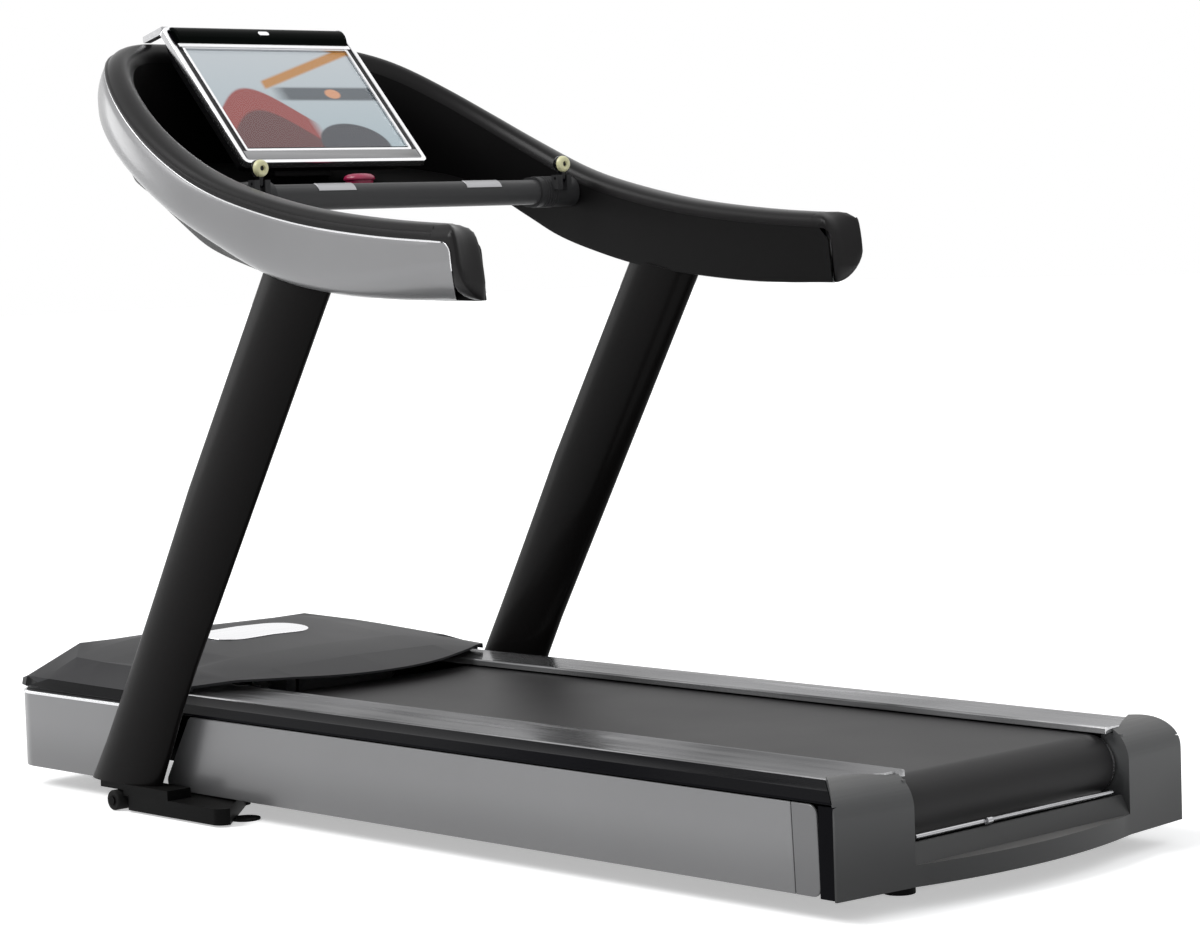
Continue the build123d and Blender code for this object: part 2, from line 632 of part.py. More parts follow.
with BuildPart() as tension_bolt:
    with Locations(Location((350, REAR + 80, ROLLER_Z), (90, 0, 0))):
        Cylinder(5, 34)
    with BuildSketch(Plane.XZ.offset(-(REAR + 65))):
        with Locations((350, ROLLER_Z)):
            RegularPolygon(9, 6)
    extrude(amount=6)
tension_bolts = both_sides(tension_bolt)
finish(tension_bolts, "tension_bolts")

# ---------------------------------------------------------------- drive
with BuildPart() as front_pulley:
    add_rod((269, FRONT_ROLLER_Y, ROLLER_Z), 24, 14)
    add_rod((PULLEY_X, FRONT_ROLLER_Y, ROLLER_Z), BIG_PULLEY_R - 0.3, DRIVE_BELT_W + 2)
    add_rod((PULLEY_X - 10, FRONT_ROLLER_Y, ROLLER_Z), SHAFT_R + RUN_CLEAR, 60, mode=Mode.SUBTRACT)
finish(front_pulley, "front_pulley")

with BuildPart() as motor:
    # stator housing along X, bored through for the rotor's shaft, on a cast foot
    add_rod((140, MOTOR_Y, MOTOR_Z), MOTOR_R, 240)
    chamfer(motor.edges().filter_by(GeomType.CIRCLE), 4)
    add_block((50, MOTOR_Y - 50, 100), (230, MOTOR_Y + 50, 130))
    add_block((100, MOTOR_Y - 30, MOTOR_Z + 40), (180, MOTOR_Y + 30, MOTOR_Z + 76))
    add_rod((140, MOTOR_Y, MOTOR_Z), 8.0 + RUN_CLEAR, 260, mode=Mode.SUBTRACT)
finish(motor, "motor")

with BuildPart() as motor_rotor:
    # shaft with the small pulley at one end and the flywheel at the other
    add_rod((141, MOTOR_Y, MOTOR_Z), 8.0, 318)
    add_rod((PULLEY_X, MOTOR_Y, MOTOR_Z), SMALL_PULLEY_R - 0.3, DRIVE_BELT_W + 2)
    add_rod((1, MOTOR_Y, MOTOR_Z), 58, 24)
    chamfer(motor_rotor.edges().filter_by(GeomType.CIRCLE).group_by(SortBy.RADIUS)[-1], 2)
finish(motor_rotor, "motor_rotor")

motor_centre = (MOTOR_Y, MOTOR_Z)
drive_plane = Plane.YZ.offset(PULLEY_X - DRIVE_BELT_W / 2)
with BuildPart() as drive_belt_space:
    belt_loop(drive_plane, front_centre, BIG_PULLEY_R, motor_centre, SMALL_PULLEY_R, DRIVE_BELT_W)
with BuildPart() as drive_belt:
    belt_loop(drive_plane, front_centre, BIG_PULLEY_R + DRIVE_BELT_T, motor_centre,
              SMALL_PULLEY_R + DRIVE_BELT_T, DRIVE_BELT_W)
    add(drive_belt_space.part, mode=Mode.SUBTRACT)
finish(drive_belt, "drive_belt")

PAN_Z = 96.0
with BuildPart() as motor_bay:
    # floor and side walls of the motor bay
    add_block((-408, BAY_Y, PAN_Z), (408, FRONT - 40, PAN_Z + 4))
    add_block((-330, FRONT - 60, PAN_Z), (330, FRONT - 26, PAN_Z + 4))
    for side in (-1, 1):
        inner = side * 398
        outer = side * 410
        add_block((min(inner, outer), BAY_Y, PAN_Z), (max(inner, outer), FRONT - 90, 194))
    add_block((-330, FRONT - 30, PAN_Z), (330, FRONT - 26, 190))
    for side in (-1, 1):
        add_block((side * 350 - 21, BAY_Y - 1, PAN_Z - 1), (side * 350 + 21, BEAM_FRONT_Y + 0.5, 210),
                  mode=Mode.SUBTRACT)
finish(motor_bay, "motor_bay")

with BuildPart() as motor_controller:
    # inverter box with cooling fins
    add_block((-290, REAR + 1860, 100), (-90, REAR + 2080, 150))
    for fin in range(9):
        x = -280 + fin * 22
        add_block((x, REAR + 1870, 149), (x + 4, REAR + 2070, 185))
finish(motor_controller, "motor_controller")

# ---------------------------------------------------------------- incline mechanism
with BuildPart() as lift_arm:
    # two bars joined by a cross bar, with a roller pad at each tip
    for side in (-1, 1):
        x = side * 160
        add_block((x - 9, ARM_PIVOT_Y - 4, ARM_Z - 14), (x + 9, ARM_PIVOT_Y + ARM_LENGTH, ARM_Z + 14))
        add_rod((x, ARM_PIVOT_Y, ARM_Z), 15, 18)
        add_rod((x + side * 6, ARM_PIVOT_Y + ARM_LENGTH, ARM_Z), 17, 30)
    bar_y = ARM_PIVOT_Y + ARM_BAR_AT
    add_block((-160, bar_y - 14, ARM_Z - 9), (160, bar_y + 14, ARM_Z + 11))
    add_rod((0, ARM_PIVOT_Y, ARM_Z), 8.0 + RUN_CLEAR, 400, mode=Mode.SUBTRACT)
finish(lift_arm, "lift_arm")

JACK_R = 15.0
with BuildPart() as jack_body:
    # screw jack: gear housing on its trunnion, tube towards the lift arm
    with Locations(Location((0, REAR + 1905, ARM_Z), (90, 0, 0))):
        Cylinder(JACK_R, 210)
    add_block((-18, JACK_PIVOT_Y - 40, ARM_Z - 14), (18, JACK_PIVOT_Y + 14, ARM_Z + 14))
    with Locations(Location((0, REAR + 1890, ARM_Z), (90, 0, 0))):
        Cylinder(9.0 + RUN_CLEAR, 200, mode=Mode.SUBTRACT)
    add_rod((0, JACK_PIVOT_Y, ARM_Z), 6.0 + RUN_CLEAR, 60, mode=Mode.SUBTRACT)
finish(jack_body, "jack_body")

JACK_TIP_Y = ARM_PIVOT_Y + ARM_BAR_AT + 14 + 16
with BuildPart() as jack_screw:
    jack_tail = REAR + 1960
    with Locations(Location((0, (JACK_TIP_Y + jack_tail) / 2, ARM_Z), (90, 0, 0))):
        Cylinder(9.0, jack_tail - JACK_TIP_Y)
    add_block((-12, JACK_TIP_Y - 1, ARM_Z - 9), (12, JACK_TIP_Y + 26, ARM_Z + 9))
finish(jack_screw, "jack_screw")

# ---------------------------------------------------------------- foot rails, bands and side panels
RAIL_TIP_X = 289.0           # where a rail's slanted rear end turns to its inner edge
RAIL_TIP_Y = REAR + 70
with BuildPart() as foot_rail_right:
    # ribbed platform beside the belt: thin top with an inner lip, slanted rear end
    with BuildSketch(Plane.XZ.offset(-(BAY_Y - 1))):
        with BuildLine():
            Polyline((RAIL_IN_X, BELT_TOP + 3), (RAIL_IN_X, RAIL_IN_Z - 2), (RAIL_IN_X + 3, RAIL_IN_Z),
                     (RAIL_OUT_X, RAIL_OUT_Z), (RAIL_OUT_X + 2, RAIL_OUT_Z - 3),
                     (RAIL_OUT_X, BEAM_TOP), (RAIL_IN_X + 10, BEAM_TOP), (RAIL_IN_X + 6, BELT_TOP + 3),
                     close=True)
        make_face()
    extrude(amount=BAY_Y - 1 - (REAR + 60))
    with BuildSketch(Plane.XY.offset(190)):
        Polygon((240, REAR + 50), (400, REAR + 50), (400, REAR + 150), (374, REAR + 116),
                (RAIL_TIP_X, RAIL_TIP_Y), (240, RAIL_TIP_Y - 4), align=None)
    extrude(amount=40, mode=Mode.SUBTRACT)
finish(foot_rail_right, "foot_rail_right")
foot_rail_left = mirrored(foot_rail_right)
finish(foot_rail_left, "foot_rail_left")

BAND_REAR = REAR + 54
PANEL_REAR = REAR + 91
with BuildPart() as side_band_right:
    # dark sloping band between rail and panel, turning down behind the panel's rear end
    with BuildSketch(Plane.XZ.offset(-(BAY_Y - 1))):
        with BuildLine():
            Polyline((RAIL_OUT_X + 4, RAIL_OUT_Z - 1), (398, 201), (403, 200), (PANEL_TOP_X, PANEL_TOP + 4),
                     (PANEL_TOP_X - 1, PANEL_TOP + 0.5), (PANEL_TOP_X - 18, PANEL_TOP + 0.5),
                     (RAIL_OUT_X + 4, BEAM_TOP - 8), close=True)
        make_face()
    extrude(amount=BAY_Y - 1 - BAND_REAR)
    # slanted rear end, where the rear cap flows round it
    with BuildSketch(Plane.XY.offset(PANEL_TOP - 1.5)):
        Polygon((369, REAR + 40), (432, REAR + 40), (432, REAR + 49.9), (369, REAR + 121.6), align=None)
    extrude(amount=40, mode=Mode.SUBTRACT)
    with BuildSketch(Plane.XY.offset(BASE_LOW)):
        with Locations((PANEL_LOW_X - 4, (BAND_REAR + PANEL_REAR) / 2)):
            Rectangle(13, PANEL_REAR - BAND_REAR - 1)
    extrude(amount=PANEL_TOP - 2 - BASE_LOW)
finish(side_band_right, "side_band_right")
side_band_left = mirrored(side_band_right)
finish(side_band_left, "side_band_left")

flare = radians(2.4)
panel_plane = Plane(origin=(PANEL_LOW_X - 5, 0, BASE_LOW), x_dir=(0, 1, 0),
                    z_dir=(cos(flare), 0, -sin(flare)))
PANEL_FRONT_LOW = REAR + 1764
PANEL_FRONT_TOP = REAR + 1667
with BuildPart() as side_panel_right:
    # silver panel, its front edge cut parallel to the post
    height = PANEL_TOP - BASE_LOW - 1
    with BuildSketch(panel_plane):
        with BuildLine():
            FilletPolyline((PANEL_REAR, 1), (PANEL_FRONT_LOW, 0), (PANEL_FRONT_TOP, height),
                           (PANEL_REAR, height), radius=16, close=True)
        make_face()
    extrude(amount=5)
finish(side_panel_right, "side_panel_right")
side_panel_left = mirrored(side_panel_right)
finish(side_panel_left, "side_panel_left")

SHROUD_TOP = 189.0
INLET_X = 190.0
INLET_LOW = 108.0
INLET_TOP = 168.0
INLET_Y = FRONT - 1.5        # front face of the inlet's panel
ROCKER_X = INLET_X + 26
ROCKER_Y = INLET_Y - 7
ROCKER_Z = 137.0
SHROUD_CORNER = 72.0         # corner radius in plan
SHROUD_CURL = 44.0           # radius of the lower front edge in side view
SHROUD_WALL = 5.0


def shroud_form(inset, rear, low):
    """Block with rounded front corners and a rounded lower front edge, inset from the shroud's face."""
    half = PANEL_TOP_X - inset
    front = FRONT - inset
    curl_y = FRONT - SHROUD_CURL
    curl_z = BASE_LOW + 2 + SHROUD_CURL
    curl_r = SHROUD_CURL - inset
    with BuildSketch(Plane.XY.offset(low)) as plan:
        with BuildLine():
            FilletPolyline((half, rear), (half, front), (-half, front), (-half, rear),
                           radius=SHROUD_CORNER - inset, close=False)
            Line((-half, rear), (half, rear))
        make_face()
    extrude(plan.sketch, amount=SHROUD_TOP + inset - low)
    with BuildSketch(Plane.YZ.offset(-PANEL_TOP_X - 1)) as side:
        with BuildLine():
            RadiusArc((front, curl_z), (curl_y, curl_z - curl_r), curl_r)
            Polyline((curl_y, curl_z - curl_r), (curl_y - 1, low), (rear, low), (rear, SHROUD_TOP + inset),
                     (front, SHROUD_TOP + inset), (front, curl_z))
        make_face()
    extrude(side.sketch, amount=2 * PANEL_TOP_X + 2, mode=Mode.INTERSECT)


with BuildPart() as shroud_hollow:
    shroud_form(SHROUD_WALL, BAY_Y - 1, BASE_LOW)
with BuildPart() as front_shroud:
    # silver skin round the front end, open at the top, the bottom and the rear
    shroud_form(0, BAY_Y, BASE_LOW + 2)
    add(shroud_hollow.part, mode=Mode.SUBTRACT)
    # window for the mains inlet
    add_block((INLET_X - 60.3, FRONT - 10, INLET_LOW - 0.3), (INLET_X + 60.3, FRONT + 1, INLET_TOP + 0.3),
              mode=Mode.SUBTRACT)
finish(front_shroud, "front_shroud")

# ---------------------------------------------------------------- motor hood
HOOD_WALL = 4.0
HOOD_LOW = 196.0
# stations from rear to front: (y, half outline from the lower edge up to the middle)
HOOD_STATIONS = [
    (1575, [(371, 217), (366, 220), (300, 223), (200, 225), (0, 226)]),
    (1700, [(371, 217), (366, 224), (300, 236), (200, 244), (0, 247)]),
    (1812, [(371, 217), (366, 230), (300, 246), (200, 256), (0, 260)]),
    (1816, [(421, HOOD_LOW), (419, 214), (330, 243), (200, 256), (0, 260)]),
    (2050, [(421, HOOD_LOW), (419, 216), (352, 249), (210, 271), (0, 276)]),
    (2130, [(421, HOOD_LOW), (419, 217), (352, 252), (205, 275), (0, 278)]),
    (2215, [(416, HOOD_LOW), (413, 216), (345, 243), (205, 259), (0, 262)]),
    (2248, [(404, HOOD_LOW), (401, 209), (335, 216), (205, 219), (0, 220)]),
]


def hood_loft(inward):
    """The hood's outer form, or the same form shrunk inwards for its hollow."""
    sections = []
    for y, half in HOOD_STATIONS:
        points = [(x - inward * (x > 0), z - inward) for x, z in half]
        low_x, low_z = half[0]
        points[0] = (low_x - inward, low_z - 2 * inward)
        outline = points + [(-x, z) for x, z in reversed(points[:-1])]
        with BuildSketch(Plane.XZ.offset(-(REAR + y))) as section:
            Polygon(*outline, align=None)
        sections.append(section.sketch)
    loft(sections, ruled=True)


with BuildPart() as hood_hollow:
    hood_loft(HOOD_WALL)
with BuildPart() as hood_form:
    hood_loft(0)
with BuildPart() as hood:
    add(hood_form.part)
    add(hood_hollow.part, mode=Mode.SUBTRACT)
    # bowed rear edge over the belt
    with BuildSketch(Plane.XY.offset(HOOD_LOW - 20)):
        with BuildLine():
            ThreePointArc((-430, REAR + 1815), (0, REAR + 1588), (430, REAR + 1815))
            Polyline((430, REAR + 1815), (430, FRONT), (-430, FRONT), (-430, REAR + 1815))
        make_face()
    extrude(amount=140, mode=Mode.INTERSECT)
finish(hood, "hood")

with BuildPart() as hood_plate:
    # bare bright badge plate on the hood, following its slope
    hood_loft(-2.0)
    add(hood_form.part, mode=Mode.SUBTRACT)
    with BuildSketch(Plane.XY.offset(230)):
        with Locations((0, REAR + 2014)):
            SlotOverall(240, 120)
    extrude(amount=80, mode=Mode.INTERSECT)
finish(hood_plate, "hood_plate")

# ---------------------------------------------------------------- rear cap
CAP_TOP = 216.0
CAP_HALF = 428.0
CAP_CORNER = 46.0            # radius of the shoulders' outer corners
CAP_ROLL = 58.0              # radius over which a shoulder's rear face rolls on to its top
OPENING_X = 266.0
OPENING_Y = REAR + 34        # where the bowed lip runs into the flat shoulders
CAP_END_Y = REAR + 50
LIP_Z = 72.0
cap_angle = atan2(CAP_END_Y - OPENING_Y, CAP_HALF - OPENING_X)
shoulder_plane = Plane(origin=(OPENING_X, OPENING_Y, 0), x_dir=(-sin(cap_angle), cos(cap_angle), 0),
                       z_dir=(cos(cap_angle), sin(cap_angle), 0))

with BuildPart() as cap_shoulder:
    # block whose rear face rolls over on to its top
    with BuildSketch(shoulder_plane.offset(-30)):
        with BuildLine():
            inset = CAP_ROLL * (1 - cos(radians(45)))
            ThreePointArc((0, CAP_TOP - CAP_ROLL), (inset, CAP_TOP - inset), (CAP_ROLL, CAP_TOP))
            Polyline((CAP_ROLL, CAP_TOP), (160, CAP_TOP), (160, BASE_LOW), (0, BASE_LOW),
                     (0, CAP_TOP - CAP_ROLL))
        make_face()
    extrude(amount=240)
    # in plan: round the slanted end of the rail
    with BuildSketch(Plane.XY.offset(BASE_LOW)):
        Polygon((OPENING_X, REAR), (CAP_HALF, REAR), (CAP_HALF, BAND_REAR), (373.5, REAR + 116),
                (RAIL_TIP_X, RAIL_TIP_Y), (OPENING_X, RAIL_TIP_Y - 4), align=None)
    extrude(amount=CAP_TOP - BASE_LOW, mode=Mode.INTERSECT)
    # from behind: rounded outer corner
    with BuildSketch(Plane.XZ.offset(-(REAR + 130))):
        with BuildLine():
            FilletPolyline((OPENING_X, CAP_TOP), (CAP_HALF, CAP_TOP), (CAP_HALF, BASE_LOW),
                           radius=CAP_CORNER, close=False)
            Polyline((CAP_HALF, BASE_LOW), (OPENING_X, BASE_LOW), (OPENING_X, CAP_TOP))
        make_face()
    extrude(amount=150, mode=Mode.INTERSECT)
    # hollow for the beam and the roller's shaft, and the opening's inner cheek
    add_block((OPENING_X - 1, REAR + 56, BASE_LOW - 1), (BEAM_OUT_X + 2, REAR + 130, CAP_HOLLOW_Z),
              mode=Mode.SUBTRACT)
    add_block((OPENING_X - 1, CAP_HOLLOW_Y, CAP_HOLLOW_Z - 1), (BEAM_OUT_X + 2, REAR + 130, BEAM_TOP + 0.5),
              mode=Mode.SUBTRACT)
    add_block((BEAM_OUT_X + 1, BAND_REAR, BASE_LOW - 1), (CAP_HALF + 2, REAR + 130, PANEL_TOP - 1.5),
              mode=Mode.SUBTRACT)
    add_block((OPENING_X, REAR + 50, BASE_LOW), (OPENING_X + 6, REAR_ROLLER_Y - 17, BEAM_TOP - 2))

with BuildPart() as rear_cap:
    # bowed end piece: a low cross lip under the belt opening, joining the two shoulders
    with BuildSketch(Plane.XY.offset(BASE_LOW)):
        with BuildLine():
            ThreePointArc((-OPENING_X, OPENING_Y), (0, REAR), (OPENING_X, OPENING_Y))
            Polyline((OPENING_X, OPENING_Y), (OPENING_X, REAR + 56), (-OPENING_X, REAR + 56),
                     (-OPENING_X, OPENING_Y))
        make_face()
    extrude(amount=LIP_Z - BASE_LOW)
    # ledge rising towards the belt
    with BuildSketch(Plane.YZ.offset(-OPENING_X)):
        with BuildLine():
            Polyline((OPENING_Y, LIP_Z - 1), (REAR + 56, LIP_Z - 1), (REAR + 56, 102), (REAR + 50, 102),
                     close=True)
        make_face()
    extrude(amount=2 * OPENING_X)
    add(cap_shoulder.part)
    mirror(cap_shoulder.part, about=Plane.YZ)
    add(foot_rail_right.part, mode=Mode.SUBTRACT)
    add(foot_rail_left.part, mode=Mode.SUBTRACT)
finish(rear_cap, "rear_cap")

with BuildPart() as belt_strip:
    # bright rod along the belt opening with a small bolt
    add_rod((0, REAR + 54, 110), 4.0, 2 * RAIL_IN_X - 8)
    add_rod((-75, REAR + 49, 111), 6.0, 12)
finish(belt_strip, "belt_strip")

# ---------------------------------------------------------------- mains inlet and switch
with BuildPart() as mains_inlet:
    # panel on the front of the motor bay with a three-pin inlet and the switch's frame
    add_block((INLET_X - 60, FRONT - 26, INLET_LOW), (INLET_X + 60, INLET_Y, INLET_TOP))
    add_block((INLET_X - 50, INLET_Y - 14, 122), (INLET_X - 12, INLET_Y + 1, 152), mode=Mode.SUBTRACT)
    add_block((INLET_X + 8, INLET_Y - 16, 118), (INLET_X + 44, INLET_Y + 1, 156), mode=Mode.SUBTRACT)
    for x in (-40, -31, -22):
        add_block((INLET_X + x - 1.5, INLET_Y - 15, 133), (INLET_X + x + 1.5, INLET_Y - 5, 141))
    add_rod((ROCKER_X, ROCKER_Y, ROCKER_Z), 1.5 + RUN_CLEAR, 42, mode=Mode.SUBTRACT)
finish(mains_inlet, "mains_inlet")

rock = radians(-8)
rocker_plane = Plane(origin=(ROCKER_X - 16, ROCKER_Y, ROCKER_Z), x_dir=(0, cos(rock), sin(rock)),
                     z_dir=(1, 0, 0))
with BuildPart() as power_switch:
    # rocker with a shallow V face, tilted to its off position, on two stub pins
    with BuildSketch(rocker_plane):
        with BuildLine():
            Polyline((-5, -16), (6.5, -16), (4, 0), (6.5, 16), (-5, 16), close=True)
        make_face()
    extrude(amount=32)
    add_rod((ROCKER_X, ROCKER_Y, ROCKER_Z), 1.5, 40)
finish(power_switch, "power_switch")
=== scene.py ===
"""Dresses a packed gym treadmill: its finishes, its rounded shells and its small trim."""

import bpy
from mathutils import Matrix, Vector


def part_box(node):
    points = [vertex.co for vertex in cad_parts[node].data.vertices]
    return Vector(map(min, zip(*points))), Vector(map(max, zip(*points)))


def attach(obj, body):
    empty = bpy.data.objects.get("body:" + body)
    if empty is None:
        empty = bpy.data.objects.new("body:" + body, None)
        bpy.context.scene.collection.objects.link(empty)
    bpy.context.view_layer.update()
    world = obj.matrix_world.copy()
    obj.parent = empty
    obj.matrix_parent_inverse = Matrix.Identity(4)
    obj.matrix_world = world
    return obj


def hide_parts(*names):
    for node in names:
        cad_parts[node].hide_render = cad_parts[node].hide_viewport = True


bl_info = {
    "name": "Gym Treadmill",
    "version": (1, 0, 0),
    "blender": (4, 5, 0),
    "location": "View3D > Sidebar > Treadmill",
    "description": "Builds the surfaces, trim and studio of a gym treadmill around its packed frame",
    "category": "Object",
}

import math

import bmesh
import bpy
from mathutils import Matrix, Vector

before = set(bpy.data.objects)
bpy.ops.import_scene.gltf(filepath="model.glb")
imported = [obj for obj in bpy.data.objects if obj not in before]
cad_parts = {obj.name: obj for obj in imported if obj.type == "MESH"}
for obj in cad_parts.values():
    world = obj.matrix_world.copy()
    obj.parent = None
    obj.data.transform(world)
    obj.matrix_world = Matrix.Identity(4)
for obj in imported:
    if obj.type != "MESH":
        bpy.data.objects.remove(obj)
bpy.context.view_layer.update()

MM = 0.001
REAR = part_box("rear_cap")[0].y            # rearmost point of the deck
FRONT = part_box("front_shroud")[1].y       # foremost point of the deck

# console ring
RING_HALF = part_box("console_shell")[1].x
RING_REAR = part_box("console_shell")[0].y
RING_STRAIGHT = REAR + 1.512
RING_CORNER_X = 0.285
RING_CORNER_Y = 0.525
RING_T = 0.070
SKIN_T = 0.008
TOP_LINE = [(-0.336, 1.043), (-0.130, 1.058), (0.070, 1.083), (0.252, 1.122), (0.366, 1.158),
            (0.489, 1.214), (0.597, 1.272), (0.690, 1.326), (0.790, 1.384), (0.860, 1.416), (0.940, 1.444)]
LOW_LINE = [(-0.336, 0.944), (-0.130, 0.949), (0.070, 0.970), (0.186, 0.996), (0.326, 1.050),
            (0.456, 1.108), (0.607, 1.184), (0.707, 1.236), (0.800, 1.284), (0.940, 1.342)]
INNER_LOW_LINE = [(-0.336, 0.944), (-0.130, 0.949), (0.070, 0.968), (0.190, 0.986), (0.326, 1.020),
                  (0.410, 1.048),
                  (0.484, 1.085), (0.570, 1.130), (0.680, 1.164), (0.780, 1.184), (0.940, 1.216)]
ARM_END = RING_REAR - 0.026               # rearmost face of the arms' end caps

# posts
POST_X = 0.4595
POST_BASE_Y = REAR + 1.869
POST_LEAN = math.radians(31.85)
POST_TOE = math.radians(0.5)
POST_MAJOR = 0.086
POST_MINOR = 0.0285
POST_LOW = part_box("post_right")[0].z

# display
DISPLAY_W = 0.450
DISPLAY_H = 0.369
DISPLAY_TILT = math.radians(42.7)
DISPLAY_CENTRE = Vector((0, REAR + 1.811, 1.3375))
SCREEN_W = 0.396
SCREEN_H = 0.272
SCREEN_LOW = 0.039
SCREEN_V = -DISPLAY_H / 2 + SCREEN_LOW + SCREEN_H / 2

# deck
PANEL_TOP_X = 0.425
BAY_Y = REAR + 1.815
SEAM_Y = REAR + 0.143
SHROUD_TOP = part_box("front_shroud")[1].z
SHROUD_CORNER = 0.072
SHOULDER_X = 0.345
SHOULDER_Y = REAR + 2.215
SHOULDER_LOW = 0.2205
SHOULDER_LIFT = 0.024
SHOULDER_SHIFT = 0.060
CROWN_LIFT = 0.007
FADE_REAR, FADE_FRONT = 0.085, 0.033      # where the hood's fuller shoulders die away
FADE_IN, FADE_OUT = 0.140, 0.068
FOOT_CUT = 0.14                           # how far the brackets' inner rear corners are cut back
ROLLER_Z = 0.150
BELT_OUT_R = 0.050
BELT_IN_R = 0.0475
BELT_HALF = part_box("running_belt")[1].x
OPENING_X = 0.266
BAR_Y = REAR + 1.500
BAR_Z = 1.132
SENSOR_X = 0.180
SENSOR_HALF = 0.044


# ---------------------------------------------------------------- user values
class TreadmillSizes(bpy.types.PropertyGroup):
    """Sizes of the dressing that a user may want to change."""

    edge_round: bpy.props.FloatProperty(
        name="Edge Rounding", description="Radius on the edges of the moulded covers",
        default=0.0025, min=0.0005, max=0.006, unit="LENGTH", subtype="DISTANCE")
    rim_height: bpy.props.FloatProperty(
        name="Rim Height", description="Height of the soft rim on top of the console ring",
        default=0.027, min=0.015, max=0.030, unit="LENGTH", subtype="DISTANCE")
    sleeve_ribs: bpy.props.IntProperty(
        name="Sleeve Ribs", description="Number of ribs round each sleeve of the grip bar",
        default=5, min=1, max=12)


class TreadmillColours(bpy.types.PropertyGroup):
    """Main colours of the finishes."""

    silver: bpy.props.FloatVectorProperty(
        name="Silver Paint", description="Colour of the silver shells and panels",
        subtype="COLOR", size=3, min=0, max=1, default=(0.195, 0.195, 0.199))
    black: bpy.props.FloatVectorProperty(
        name="Black Plastic", description="Colour of the black mouldings",
        subtype="COLOR", size=3, min=0, max=1, default=(0.009, 0.009, 0.010))
    belt: bpy.props.FloatVectorProperty(
        name="Belt", description="Colour of the running belt",
        subtype="COLOR", size=3, min=0, max=1, default=(0.016, 0.0155, 0.016))


# ---------------------------------------------------------------- shader groups
def add_socket(tree, label, direction, kind, value=None):
    """Add one named socket to a node group."""
    socket = tree.interface.new_socket(name=label, in_out=direction, socket_type=kind)
    if value is not None:
        socket.default_value = value
    return socket


def add_node(tree, kind, settings=None, **inputs):
    """A node with its settings, and with inputs that take numbers or the sockets that feed them."""
    node = tree.nodes.new(kind)
    for label, value in (settings or {}).items():
        setattr(node, label, value)
    for label, value in inputs.items():
        socket = node.inputs[label.replace("_", " ")]
        if isinstance(value, bpy.types.NodeSocket):
            tree.links.new(value, socket)
        else:
            socket.default_value = value
    return node


def value_math(tree, operation, first, second):
    """A Math node whose inputs may be sockets or numbers."""
    node = tree.nodes.new("ShaderNodeMath")
    node.operation = operation
    for index, item in enumerate((first, second)):
        if isinstance(item, (int, float)):
            node.inputs[index].default_value = item
        else:
            tree.links.new(item, node.inputs[index])
    return node.outputs[0]


